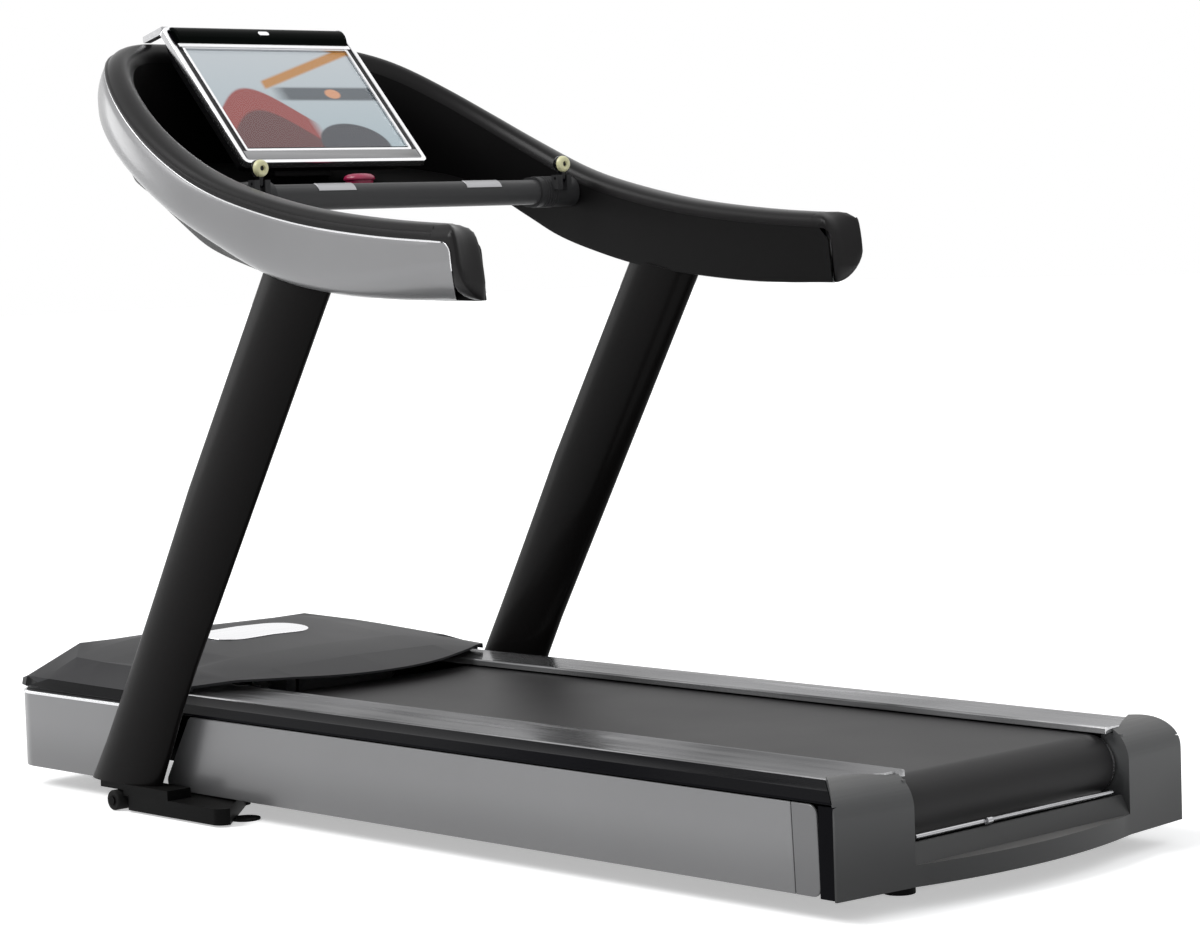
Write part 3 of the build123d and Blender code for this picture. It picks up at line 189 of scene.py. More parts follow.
def moulded_group():
    """Colour, roughness and height of moulded plastic or paint: cloudy tone, fine grain, settled dust and
    painted shade towards the lower edge.
    """
    tree = bpy.data.node_groups.new("Moulded Surface", "ShaderNodeTree")
    for label, direction, kind, value in (
            ("Colour", "INPUT", "Color", (0.5, 0.5, 0.5, 1)),
            ("Roughness", "INPUT", "Float", 0.4),
            ("Grain Scale", "INPUT", "Float", 900.0),
            ("Tone Change", "INPUT", "Float", 0.15),
            ("Dust", "INPUT", "Float", 0.1),
            ("Low Shade", "INPUT", "Float", 0.0),
            ("Shade From", "INPUT", "Float", 0.05),
            ("Shade To", "INPUT", "Float", 0.20),
            ("Colour", "OUTPUT", "Color", None),
            ("Roughness", "OUTPUT", "Float", None),
            ("Height", "OUTPUT", "Float", None)):
        add_socket(tree, label, direction, f"NodeSocket{kind}", value)
    inputs = tree.nodes.new("NodeGroupInput")
    outputs = tree.nodes.new("NodeGroupOutput")
    place = tree.nodes.new("ShaderNodeTexCoord").outputs["Object"]

    clouds = add_node(tree, "ShaderNodeTexNoise", Scale=3.5, Detail=4.0, Vector=place)
    grain = add_node(tree, "ShaderNodeTexNoise", Detail=2.0, Vector=place,
                     Scale=inputs.outputs["Grain Scale"])

    # tone: colour times 1 +- half the change
    centred = value_math(tree, "SUBTRACT", clouds.outputs["Fac"], 0.5)
    swing = value_math(tree, "MULTIPLY", centred, inputs.outputs["Tone Change"])
    factor = value_math(tree, "ADD", value_math(tree, "MULTIPLY", swing, 2.0), 1.0)
    # painted shade: the colour darkens towards the lower edge, standing in for the shade that falls low down
    height = tree.nodes.new("ShaderNodeSeparateXYZ")
    tree.links.new(place, height.inputs[0])
    lowness = add_node(tree, "ShaderNodeMapRange", {"interpolation_type": "SMOOTHSTEP"}, To_Min=1.0,
                       To_Max=0.0, Value=height.outputs["Z"], From_Min=inputs.outputs["Shade From"],
                       From_Max=inputs.outputs["Shade To"])
    shade = value_math(tree, "MULTIPLY", lowness.outputs["Result"], inputs.outputs["Low Shade"])
    factor = value_math(tree, "MULTIPLY", factor, value_math(tree, "SUBTRACT", 1.0, shade))
    tone = add_node(tree, "ShaderNodeVectorMath", {"operation": "SCALE"})
    tree.links.new(inputs.outputs["Colour"], tone.inputs[0])
    tree.links.new(factor, tone.inputs["Scale"])

    # dust lies on faces that look up
    facing = tree.nodes.new("ShaderNodeSeparateXYZ")
    tree.links.new(tree.nodes.new("ShaderNodeNewGeometry").outputs["Normal"], facing.inputs[0])
    upward = value_math(tree, "MAXIMUM", facing.outputs["Z"], 0.0)
    settled = value_math(tree, "MULTIPLY", value_math(tree, "POWER", upward, 3.0), inputs.outputs["Dust"])
    patchy = value_math(tree, "MULTIPLY", settled, clouds.outputs["Fac"])
    dusty = add_node(tree, "ShaderNodeMix", {"data_type": "RGBA"}, B=(0.35, 0.34, 0.33, 1), Factor=patchy,
                     A=tone.outputs["Vector"])
    tree.links.new(dusty.outputs["Result"], outputs.inputs["Colour"])

    rough_swing = value_math(tree, "MULTIPLY", centred, 0.12)
    rough = value_math(tree, "ADD", inputs.outputs["Roughness"], rough_swing)
    tree.links.new(value_math(tree, "ADD", rough, patchy), outputs.inputs["Roughness"])
    tree.links.new(grain.outputs["Fac"], outputs.inputs["Height"])
    return tree


def brushed_group():
    """Tone, roughness and height of metal brushed along one axis, with broad painted reflection patches."""
    tree = bpy.data.node_groups.new("Brushed Metal", "ShaderNodeTree")
    for label, direction, kind, value in (
            ("Colour", "INPUT", "Color", (0.6, 0.6, 0.6, 1)),
            ("Roughness", "INPUT", "Float", 0.25),
            ("Stretch", "INPUT", "Vector", (60.0, 1.2, 60.0)),
            ("Streaks", "INPUT", "Float", 0.4),
            ("Metal", "INPUT", "Float", 1.0),
            ("Patches", "INPUT", "Float", 0.0),
            ("Colour", "OUTPUT", "Color", None),
            ("Roughness", "OUTPUT", "Float", None),
            ("Metallic", "OUTPUT", "Float", None),
            ("Height", "OUTPUT", "Float", None)):
        add_socket(tree, label, direction, f"NodeSocket{kind}", value)
    inputs = tree.nodes.new("NodeGroupInput")
    outputs = tree.nodes.new("NodeGroupOutput")
    place = tree.nodes.new("ShaderNodeTexCoord").outputs["Object"]

    drawn = add_node(tree, "ShaderNodeVectorMath", {"operation": "MULTIPLY"})
    tree.links.new(place, drawn.inputs[0])
    tree.links.new(inputs.outputs["Stretch"], drawn.inputs[1])
    lines = add_node(tree, "ShaderNodeTexNoise", Scale=1.0, Detail=6.0, Roughness=0.62,
                     Vector=drawn.outputs["Vector"])
    hairs = add_node(tree, "ShaderNodeTexNoise", Scale=12.0, Detail=2.0, Vector=drawn.outputs["Vector"])

    centred = value_math(tree, "SUBTRACT", lines.outputs["Fac"], 0.5)
    swing = value_math(tree, "MULTIPLY", centred, inputs.outputs["Streaks"])
    factor = value_math(tree, "ADD", value_math(tree, "MULTIPLY", swing, 4.0), 1.0)
    # painted reflection: broad lighter and darker patches
    broad = add_node(tree, "ShaderNodeTexNoise", Scale=2.6, Detail=1.0, Vector=place)
    reflection_patch = value_math(tree, "SUBTRACT", broad.outputs["Fac"], 0.5)
    reflection_patch = value_math(tree, "MULTIPLY", reflection_patch, value_math(tree, "MULTIPLY", inputs.outputs["Patches"], 4.0))
    factor = value_math(tree, "MULTIPLY", factor, value_math(tree, "ADD", reflection_patch, 1.0))
    tone = add_node(tree, "ShaderNodeVectorMath", {"operation": "SCALE"})
    tree.links.new(inputs.outputs["Colour"], tone.inputs[0])
    tree.links.new(factor, tone.inputs["Scale"])
    tree.links.new(tone.outputs["Vector"], outputs.inputs["Colour"])
    # dull patches: full metal stays full, anything less swings with the streaks
    spare = value_math(tree, "SUBTRACT", 1.0, inputs.outputs["Metal"])
    shine = value_math(tree, "MULTIPLY", value_math(tree, "MULTIPLY", swing, 14.0), spare)
    full = value_math(tree, "MINIMUM", value_math(tree, "ADD", inputs.outputs["Metal"], shine), 1.0)
    tree.links.new(value_math(tree, "MAXIMUM", full, 0.0), outputs.inputs["Metallic"])
    rough_swing = value_math(tree, "MULTIPLY", swing, 0.8)
    tree.links.new(value_math(tree, "ADD", inputs.outputs["Roughness"], rough_swing),
                   outputs.inputs["Roughness"])
    tree.links.new(hairs.outputs["Fac"], outputs.inputs["Height"])
    return tree


groups = {}
materials = {}


def shader_group(name):
    """A shared shader group, built the first time it is asked for."""
    makers = {"moulded": moulded_group, "brushed": brushed_group}
    if name not in groups:
        groups[name] = makers[name]()
    return groups[name]


def new_material(name, **sockets):
    """A Principled material with plain values on its own sockets."""
    material = bpy.data.materials.new(name)
    material.use_nodes = True
    shader = material.node_tree.nodes["Principled BSDF"]
    for label, value in sockets.items():
        shader.inputs[label.replace("_", " ")].default_value = value
    materials[name] = material
    return material, shader


def surface_from(material, shader, group_name, bump, distance, **inputs):
    """Feed colour, roughness and bump of a material from a shared group."""
    tree = material.node_tree
    group = add_node(tree, "ShaderNodeGroup", {"node_tree": shader_group(group_name)})
    for label, value in inputs.items():
        group.inputs[label.replace("_", " ")].default_value = value
    tree.links.new(group.outputs["Colour"], shader.inputs["Base Color"])
    tree.links.new(group.outputs["Roughness"], shader.inputs["Roughness"])
    relief = add_node(tree, "ShaderNodeBump", Strength=bump, Distance=distance,
                      Height=group.outputs["Height"])
    tree.links.new(relief.outputs["Normal"], shader.inputs["Normal"])
    return group


def moulded(name, colour, roughness, grain=900.0, tone=0.12, dust=0.08, bump=0.12, distance=0.0004,
            shade=(0.0, 0.05, 0.20), **sockets):
    """Moulded plastic, rubber or paint with a fine grain; shade is the painted shade low down, as (share,
    lower height, upper height).
    """
    material, shader = new_material(name, **sockets)
    surface_from(material, shader, "moulded", bump, distance, Colour=(*colour, 1), Roughness=roughness,
                 Grain_Scale=grain, Tone_Change=tone, Dust=dust, Low_Shade=shade[0], Shade_From=shade[1],
                 Shade_To=shade[2])
    return material


def brushed(name, colour, roughness, stretch, streaks=0.3, metal=1.0, patches=0.0, bump=0.1, distance=0.0002,
            **sockets):
    """Bare metal with drawn streaks; below full metal the dark streaks lose their shine; patches are broad
    painted reflections.
    """
    material, shader = new_material(name, **sockets)
    group = surface_from(material, shader, "brushed", bump, distance, Colour=(*colour, 1),
                         Roughness=roughness,
                         Stretch=stretch, Streaks=streaks, Metal=metal, Patches=patches)
    material.node_tree.links.new(group.outputs["Metallic"], shader.inputs["Metallic"])
    return material


# ---------------------------------------------------------------- finishes
def make_materials():
    """Every finish of the machine, made once."""
    colours = bpy.context.scene.treadmill_colours
    silver = tuple(colours.silver)
    black = tuple(colours.black)
    dim = {"Specular_IOR_Level": 0.14}
    clear = {"Metallic": 0.45, "Coat_Weight": 0.4, "Coat_Roughness": 0.16}
    moulded("silver_paint", silver, 0.36, grain=1800, tone=0.08, dust=0.0, bump=0.05, **clear)
    # painted shade: the side panels, the shroud and the rear panel ends darken towards their lower edge
    moulded("panel_paint", tuple(v * 0.84 for v in silver), 0.36, grain=1800, tone=0.10, dust=0.0, bump=0.05,
            shade=(0.28, 0.05, 0.14), **clear)
    moulded("silver_end", tuple(v * 0.70 for v in silver), 0.40, grain=1800, tone=0.08, dust=0.0, bump=0.05,
            shade=(0.15, 0.05, 0.14), Metallic=0.45)
    # painted highlight: pale bright silver for thin strips along edges, standing in for the light those edges
    # catch
    moulded("silver_highlight", (0.70, 0.70, 0.71), 0.22, grain=1800, tone=0.05, dust=0.0, bump=0.03, Metallic=0.8)
    moulded("black_rim", (0.0065, 0.006, 0.0063), 0.34, grain=1400, tone=0.2, dust=0.0,
            Specular_IOR_Level=0.12,
            Sheen_Weight=0.35, Sheen_Roughness=0.25)
    moulded("black_lining", (0.0035, 0.0033, 0.0034), 0.50, grain=1100, tone=0.25, dust=0.0,
            Specular_IOR_Level=0.08)
    moulded("black_post", (0.0042, 0.0038, 0.0038), 0.40, grain=2200, tone=0.2, dust=0.0, bump=0.06,
            Specular_IOR_Level=0.03, Coat_Weight=0.05, Coat_Roughness=0.15, Sheen_Weight=0.12,
            Sheen_Roughness=0.25)
    moulded("black_plastic", black, 0.44, grain=1200, tone=0.2, dust=0.02, **dim)
    moulded("black_paint", (0.0035, 0.0035, 0.0035), 0.45, grain=700, tone=0.2, dust=0.02, bump=0.15,
            Specular_IOR_Level=0.04)
    moulded("gloss_band", (0.0035, 0.0035, 0.0045), 0.24, grain=2400, tone=0.3, dust=0.0, bump=0.03,
            Specular_IOR_Level=0.022)
    moulded("hood_plastic", (0.022, 0.022, 0.024), 0.42, grain=1000, tone=0.15, dust=0.05,
            Specular_IOR_Level=0.07)
    # painted shade: a darker copy of the hood plastic for the hood's low side faces, standing in for the
    # shade on them
    moulded("hood_skirt_painted_shade", (0.004, 0.004, 0.0045), 0.38, grain=1000, tone=0.15, dust=0.0,
            Specular_IOR_Level=0.05)
    # painted shade: the cap's colour darkens strongly towards its lower edge; its high dust share also mixes
    # its upward faces towards pale grey, which lightens its top
    moulded("cap_plastic", (0.068, 0.069, 0.070), 0.40, grain=900, tone=0.12, dust=0.36,
            shade=(0.62, 0.05, 0.205), Specular_IOR_Level=0.22)
    moulded("foot_rubber", (0.006, 0.006, 0.006), 0.75, grain=500, tone=0.2, dust=0.05, bump=0.3, **dim)
    moulded("bar_grip", (0.045, 0.045, 0.046), 0.42, grain=1300, tone=0.12, dust=0.0, **dim)
    moulded("bar_sleeve", (0.028, 0.028, 0.029), 0.50, grain=900, tone=0.15, dust=0.0, bump=0.2, **dim)
    moulded("belt_rubber", tuple(colours.belt), 0.46, grain=650, tone=0.30, dust=0.0, bump=0.35,
            Specular_IOR_Level=0.13)
    moulded("lever_cream", (0.66, 0.64, 0.38), 0.30, grain=1500, tone=0.1, dust=0.0)
    moulded("stop_red", (0.30, 0.008, 0.055), 0.30, grain=1500, tone=0.08, dust=0.0)
    moulded("gloss_black", (0.005, 0.005, 0.006), 0.16, grain=2500, tone=0.2, dust=0.0, bump=0.02, **dim)
    # painted reflection: the faint green in this black stands in for the green-grey sheen on the visor's top
    moulded("visor_black", (0.0015, 0.0025, 0.002), 0.20, grain=2500, tone=0.3, dust=0.0, bump=0.02,
            Specular_IOR_Level=0.018)
    moulded("cast_grey", (0.10, 0.10, 0.105), 0.55, grain=350, tone=0.2, dust=0.2, bump=0.4)
    moulded("board_wood", (0.30, 0.20, 0.11), 0.5, grain=200, tone=0.3, dust=0.1, bump=0.3)
    # painted reflection: the rail's strong streaks are partly drawn grain and partly painted reflection
    # lines, and its broad patches are painted reflections
    brushed("rail_metal", (0.35, 0.35, 0.355), 0.17, (34.0, 1.3, 34.0), streaks=0.9, metal=0.85, patches=0.7,
            Specular_Tint=(0.37, 0.37, 0.375, 1), Specular_IOR_Level=0.10)
    brushed("bright_metal", (0.90, 0.90, 0.92), 0.14, (3.0, 60.0, 60.0), streaks=0.06)
    brushed("steel", (0.52, 0.52, 0.53), 0.28, (4.0, 70.0, 70.0), streaks=0.2)
    brushed("plate_satin", (0.30, 0.30, 0.31), 0.38, (4.0, 60.0, 60.0), streaks=0.10)
    brushed("rod_metal", (0.34, 0.34, 0.35), 0.22, (3.0, 60.0, 60.0), streaks=0.25)
    brushed("frame_silver", (0.62, 0.62, 0.63), 0.22, (2.0, 60.0, 60.0), streaks=0.10)
    new_material("screen_glass", Base_Color=(0.02, 0.02, 0.02, 1), Roughness=0.04, Alpha=0.10)
    screen_picture()


def screen_picture():
    """Lit screen: soft pale sky, warm stripe, red hills and a dark band, all from the panel's own UV map."""
    material, shader = new_material("screen_picture", Roughness=0.25)
    tree = material.node_tree
    shader.inputs["Base Color"].default_value = (0.02, 0.02, 0.02, 1)
    shader.inputs["Emission Strength"].default_value = 0.85
    uv = tree.nodes.new("ShaderNodeSeparateXYZ")
    tree.links.new(tree.nodes.new("ShaderNodeUVMap").outputs["UV"], uv.inputs[0])
    across = uv.outputs["X"]
    up = uv.outputs["Y"]

    def layered(under, mask, colour):
        mix = add_node(tree, "ShaderNodeMix", {"data_type": "RGBA"}, Factor=mask, A=under, B=(*colour, 1))
        return mix.outputs["Result"]

    def above(signal, limit, soft=0.012):
        ramp = add_node(tree, "ShaderNodeMapRange", From_Min=limit - soft, From_Max=limit + soft,
                        Value=signal)
        return ramp.outputs["Result"]

    sky = add_node(tree, "ShaderNodeMix", {"data_type": "RGBA"}, A=(0.40, 0.50, 0.55, 1),
                   B=(0.55, 0.60, 0.64, 1), Factor=up)
    picture = sky.outputs["Result"]
    # dark band across the middle right
    band = value_math(tree, "MULTIPLY", above(up, 0.50), value_math(tree, "SUBTRACT", 1.0, above(up, 0.63)))
    picture = layered(picture, value_math(tree, "MULTIPLY", band, above(across, 0.42, 0.05)),
                      (0.07, 0.09, 0.11))
    # warm stripe rising to the right
    slope = value_math(tree, "SUBTRACT", up, value_math(tree, "MULTIPLY", across, 0.55))
    stripe = value_math(tree, "MULTIPLY", above(slope, 0.42), value_math(tree, "SUBTRACT", 1.0, above(slope,
                                                                                                      0.50)))
    picture = layered(picture, value_math(tree, "MULTIPLY", stripe, above(across, 0.35)), (0.52, 0.22, 0.03))
    # rolling red hills on the left
    wave = value_math(tree, "SINE", value_math(tree, "MULTIPLY", across, 7.0), 0.0)
    crest = value_math(tree, "ADD", value_math(tree, "MULTIPLY", wave, 0.22), 0.40)
    hills = value_math(tree, "SUBTRACT", crest, up)
    left = value_math(tree, "SUBTRACT", 1.0, above(across, 0.52, 0.03))
    picture = layered(picture, value_math(tree, "MULTIPLY", above(hills, 0.0), left), (0.30, 0.03, 0.025))
    lower = value_math(tree, "MULTIPLY", above(hills, 0.22), left)
    picture = layered(picture, lower, (0.10, 0.012, 0.014))
    # dark round hill to the right
    from_x = value_math(tree, "POWER", value_math(tree, "SUBTRACT", across, 0.70), 2.0)
    from_y = value_math(tree, "POWER", value_math(tree, "SUBTRACT", up, 0.05), 2.0)
    ball = value_math(tree, "SUBTRACT", 0.045, value_math(tree, "ADD", from_x, from_y))
    picture = layered(picture, above(ball, 0.0, 0.003), (0.03, 0.035, 0.05))
    # small warm window in the band
    from_x = value_math(tree, "POWER", value_math(tree, "SUBTRACT", across, 0.75), 2.0)
    from_y = value_math(tree, "POWER", value_math(tree, "SUBTRACT", up, 0.565), 2.0)
    sun = value_math(tree, "SUBTRACT", 0.0022, value_math(tree, "ADD", from_x, from_y))
    picture = layered(picture, above(sun, 0.0, 0.0006), (0.70, 0.32, 0.16))
    tree.links.new(picture, shader.inputs["Emission Color"])


# ---------------------------------------------------------------- mesh tools
def mesh_piece(name, points, faces, material, sharp=35.0):
    """A mesh object with outward normals, smooth but for its sharp edges."""
    mesh = bpy.data.meshes.new(name)
    mesh.from_pydata([tuple(p) for p in points], [], faces)
    shape = bmesh.new()
    shape.from_mesh(mesh)
    bmesh.ops.remove_doubles(shape, verts=shape.verts, dist=1e-6)
    bmesh.ops.recalc_face_normals(shape, faces=shape.faces)
    shape.to_mesh(mesh)
    shape.free()
    mesh.shade_smooth()
    mesh.set_sharp_from_angle(angle=math.radians(sharp))
    mesh.materials.append(materials[material])
    piece = bpy.data.objects.new(name, mesh)
    bpy.context.scene.collection.objects.link(piece)
    return piece


def loft_rings(name, rings, material, closed=False, sharp=35.0):
    """Skin a row of equal point loops; open rows get end faces."""
    count = len(rings[0])
    points = [p for ring in rings for p in ring]
    faces = []
    spans = len(rings) if closed else len(rings) - 1
    for i in range(spans):
        j = (i + 1) % len(rings)
        for k in range(count):
            m = (k + 1) % count
            faces.append((i * count + k, i * count + m, j * count + m, j * count + k))
    if not closed:
        faces.append(tuple(range(count)))
        faces.append(tuple(range((len(rings) - 1) * count, len(rings) * count)))
    return mesh_piece(name, points, faces, material, sharp)


def lathe(name, profile, centre, axis, material, steps=64, sharp=35.0):
    """Turn a closed profile of (radius, along) points about an axis through centre."""
    axis = Vector(axis).normalized()
    side = axis.orthogonal().normalized()
    other = axis.cross(side)
    rings = []
    for i in range(steps):
        angle = 2 * math.pi * i / steps
        out = side * math.cos(angle) + other * math.sin(angle)
        rings.append([Vector(centre) + out * r + axis * a for r, a in profile])
    return loft_rings(name, rings, material, closed=True, sharp=sharp)


def soften(piece, width, segments=3, angle=30.0):
    """Round the sharp edges of a piece."""
    rounding = piece.modifiers.new("Rounding", "BEVEL")
    rounding.width = width
    rounding.segments = segments
    rounding.limit_method = "ANGLE"
    rounding.angle_limit = math.radians(angle)
    rounding.harden_normals = True
    return piece


def rounded_copy(name, node, material, width, segments=3, angle=30.0):
    """A cleaned copy of a frame node's mesh with rounded edges, standing for that node."""
    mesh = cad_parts[node].data.copy()
    mesh.materials.clear()
    mesh.materials.append(materials[material])
    shape = bmesh.new()
    shape.from_mesh(mesh)
    bmesh.ops.remove_doubles(shape, verts=shape.verts, dist=1e-5)
    bmesh.ops.dissolve_limit(shape, angle_limit=math.radians(0.4), verts=shape.verts, edges=shape.edges)
    shape.to_mesh(mesh)
    shape.free()
    mesh.name = name
    mesh.shade_smooth()
    mesh.set_sharp_from_angle(angle=math.radians(angle))
    piece = bpy.data.objects.new(name, mesh)
    bpy.context.scene.collection.objects.link(piece)
    return soften(piece, width, segments, angle)


def cut_across(piece, y, keep_front):
    """Cut a piece across the machine at y and close the cut."""
    shape = bmesh.new()
    shape.from_mesh(piece.data)
    bmesh.ops.bisect_plane(shape, geom=shape.verts[:] + shape.edges[:] + shape.faces[:], plane_co=(0, y, 0),
                           plane_no=(0, 1, 0), clear_inner=keep_front, clear_outer=not keep_front)
    rim = [edge for edge in shape.edges if edge.is_boundary]
    bmesh.ops.holes_fill(shape, edges=rim)
    bmesh.ops.recalc_face_normals(shape, faces=shape.faces)
    shape.to_mesh(piece.data)
    shape.free()
    piece.data.shade_smooth()
    piece.data.set_sharp_from_angle(angle=math.radians(30))


def carry(piece, body, slot, *nodes):
    """Let a piece ride on a body and stand for frame nodes; slot is not used."""
    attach(piece, body)
    if nodes:
        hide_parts(*nodes)
    return piece


def dress(name, node, material, width, body, slot, **rounding):
    """Put a rounded copy in the place of a frame node."""
    return carry(rounded_copy(name, node, material, width, **rounding), body, slot, node)


def paint_node(node, material):
    """Give a frame node that keeps its shape a finished material."""
    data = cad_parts[node].data
    data.materials.clear()
    data.materials.append(materials[material])


def mirrored_points(points):
    """The same points on the machine's other side, in reverse order."""
    return [Vector((-p[0], p[1], p[2])) for p in points]


def rounded_outline(half_w, half_h, radius, steps=6):
    """Corner-rounded rectangle as (across, up) points, anticlockwise."""
    outline = []
    corners = [(1, 1, 0), (-1, 1, 90), (-1, -1, 180), (1, -1, 270)]
    for sx, sy, start in corners:
        for i in range(steps + 1):
            angle = math.radians(start + 90 * i / steps)
            outline.append((sx * (half_w - radius) + radius * math.cos(angle),
                            sy * (half_h - radius) + radius * math.sin(angle)))
    return outline


def curve_height(line, y):
    """Height of a smooth edge line through its named points at y."""
    if y <= line[0][0]:
        return line[0][1]
    if y >= line[-1][0]:
        return line[-1][1]
    slopes = []
    for i in range(len(line)):
        a = line[max(i - 1, 0)]
        b = line[min(i + 1, len(line) - 1)]
        slopes.append((b[1] - a[1]) / (b[0] - a[0]))
    i = max(k for k in range(len(line) - 1) if line[k][0] <= y)
    span = line[i + 1][0] - line[i][0]
    t = (y - line[i][0]) / span
    rise = (2 * t ** 3 - 3 * t ** 2 + 1) * line[i][1] + (3 * t ** 2 - 2 * t ** 3) * line[i + 1][1]
    return rise + span * ((t ** 3 - 2 * t ** 2 + t) * slopes[i] + (t ** 3 - t ** 2) * slopes[i + 1])


# ---------------------------------------------------------------- repeated parts
def wire(tree, source, target):
    """Link two sockets of a tree."""
    tree.links.new(source, target)


def row_tree(name, extra):
    """A geometry tree with the inputs of a row, its points, and its last steps."""
    tree = bpy.data.node_groups.new(name, "GeometryNodeTree")
    add_socket(tree, "Count", "INPUT", "NodeSocketInt", 4)
    add_socket(tree, "Start", "INPUT", "NodeSocketVector", (0.0, 0.0, 0.0))
    add_socket(tree, "Step", "INPUT", "NodeSocketVector", (0.01, 0.0, 0.0))
    for label, value in extra:
        add_socket(tree, label, "INPUT", "NodeSocketFloat", value)
    add_socket(tree, "Turn", "INPUT", "NodeSocketVector", (0.0, 0.0, 0.0))
    add_socket(tree, "Material", "INPUT", "NodeSocketMaterial")
    add_socket(tree, "Geometry", "OUTPUT", "NodeSocketGeometry")
    inputs = tree.nodes.new("NodeGroupInput")
    row = add_node(tree, "GeometryNodeMeshLine", {"mode": "OFFSET"}, Count=inputs.outputs["Count"],
                   Start_Location=inputs.outputs["Start"], Offset=inputs.outputs["Step"])
    place = add_node(tree, "GeometryNodeInstanceOnPoints", Points=row.outputs["Mesh"])
    turn = add_node(tree, "FunctionNodeEulerToRotation", Euler=inputs.outputs["Turn"])
    wire(tree, turn.outputs["Rotation"], place.inputs["Rotation"])
    real = add_node(tree, "GeometryNodeRealizeInstances", Geometry=place.outputs["Instances"])
    finish = add_node(tree, "GeometryNodeSetMaterial", Geometry=real.outputs["Geometry"],
                      Material=inputs.outputs["Material"])
    outputs = add_node(tree, "NodeGroupOutput", Geometry=finish.outputs["Geometry"])
    return tree, inputs, place


def hoop_row():
    """Geometry tree: hoops of a thin bead round a rounded bar, in a row along it."""
    if "Hoop Row" in bpy.data.node_groups:
        return bpy.data.node_groups["Hoop Row"]
    tree, inputs, place = row_tree("Hoop Row", (("Width", 0.05), ("Depth", 0.06), ("Corner", 0.02),
                                                ("Bead", 0.001)))
    hoop = add_node(tree, "GeometryNodeCurvePrimitiveQuadrilateral", Width=inputs.outputs["Width"],
                    Height=inputs.outputs["Depth"])
    rounded = add_node(tree, "GeometryNodeFilletCurve", {"mode": "POLY"}, Count=12,
                       Curve=hoop.outputs["Curve"], Radius=inputs.outputs["Corner"])
    upright = add_node(tree, "GeometryNodeTransform", Rotation=(0.0, math.radians(90), 0.0),
                       Geometry=rounded.outputs["Curve"])
    bead = add_node(tree, "GeometryNodeCurvePrimitiveCircle", Resolution=10, Radius=inputs.outputs["Bead"])
    swept = add_node(tree, "GeometryNodeCurveToMesh", Curve=upright.outputs["Geometry"],
                     Profile_Curve=bead.outputs["Curve"])
    wire(tree, swept.outputs["Mesh"], place.inputs["Instance"])
    return tree


def screw_row():
    """Geometry tree: round screw heads with a sunk middle, in a row."""
    if "Screw Row" in bpy.data.node_groups:
        return bpy.data.node_groups["Screw Row"]
    tree, inputs, place = row_tree("Screw Row", (("Radius", 0.004), ("Height", 0.002)))
    head = add_node(tree, "GeometryNodeMeshCylinder", Vertices=32, Radius=inputs.outputs["Radius"],
                    Depth=inputs.outputs["Height"])
    rim = add_node(tree, "GeometryNodeExtrudeMesh", {"mode": "FACES"}, Offset_Scale=0.0002,
                   Mesh=head.outputs["Mesh"], Selection=head.outputs["Top"])
    narrow = add_node(tree, "GeometryNodeScaleElements", {"domain": "FACE"}, Scale=0.55,
                      Geometry=rim.outputs["Mesh"], Selection=rim.outputs["Top"])
    sunk = add_node(tree, "GeometryNodeExtrudeMesh", {"mode": "FACES"}, Mesh=narrow.outputs["Geometry"],
                    Selection=rim.outputs["Top"])
    depth = add_node(tree, "ShaderNodeMath", {"operation": "MULTIPLY"})
    depth.inputs[1].default_value = -0.7
    wire(tree, inputs.outputs["Height"], depth.inputs[0])
    wire(tree, depth.outputs[0], sunk.inputs["Offset Scale"])
    wire(tree, sunk.outputs["Mesh"], place.inputs["Instance"])
    return tree


def repeated(name, tree, values):
    """Make a plain mesh piece from a geometry tree and its input values."""
    seed = bpy.data.objects.new(f"{name}_seed", bpy.data.meshes.new(f"{name}_seed"))
    bpy.context.scene.collection.objects.link(seed)
    work = seed.modifiers.new("Row", "NODES")
    work.node_group = tree
    sockets = {item.name: item.identifier for item in tree.interface.items_tree if item.in_out == "INPUT"}
    for label, value in values.items():
        work[sockets[label]] = value
    bpy.context.view_layer.update()
    mesh = bpy.data.meshes.new_from_object(seed.evaluated_get(bpy.context.evaluated_depsgraph_get()))
    seed.modifiers.remove(work)
    bpy.data.objects.remove(seed)
    if not mesh.polygons:
        raise RuntimeError(f"{name}: the geometry tree made nothing")
    mesh.name = name
    mesh.shade_smooth()
    mesh.set_sharp_from_angle(angle=math.radians(40))
    piece = bpy.data.objects.new(name, mesh)
    bpy.context.scene.collection.objects.link(piece)
    return piece


# ---------------------------------------------------------------- console ring
def ring_stations():
    """Stations of the right half: along the arm, round the corner, then half of the front."""
    stations = [("arm", i / 26) for i in range(26)]
    stations += [("corner", math.radians(90) * i / 44) for i in range(44)]
    stations += [("front", i / 8) for i in range(9)]
    return stations


def ring_place(kind, t, inset, rear):
    """Plan position of a station at an inset from the ring's outer face, on the right half."""
    flat = RING_HALF - RING_CORNER_X
    if kind == "arm":
        return RING_HALF - inset, rear + t * (RING_STRAIGHT - rear)
    if kind == "corner":
        return (flat + (RING_CORNER_X - inset) * math.cos(t),
                RING_STRAIGHT + (RING_CORNER_Y - inset) * math.sin(t))
    return flat * (1 - 2 * t), RING_STRAIGHT + RING_CORNER_Y - inset


def swell(y):
    """How far the silver skin swells: 0 along the arms, 1 round the raised front."""
    t = min(max((y - 0.10) / 0.66, 0.0), 1.0)
    return t * t * (3 - 2 * t)


def tuck(y):
    """How far the arms' lower outer edge is rolled under: 1 at their rear ends, 0 by the posts."""
    t = min(max((0.02 - y) / 0.34, 0.0), 1.0)
    return t * t * (3 - 2 * t)


def under_size(y):
    """Width and height of the rounding under the silver skin."""
    return 0.024 + 0.044 * tuck(y) + 0.004 * swell(y), 0.028 + 0.040 * tuck(y)


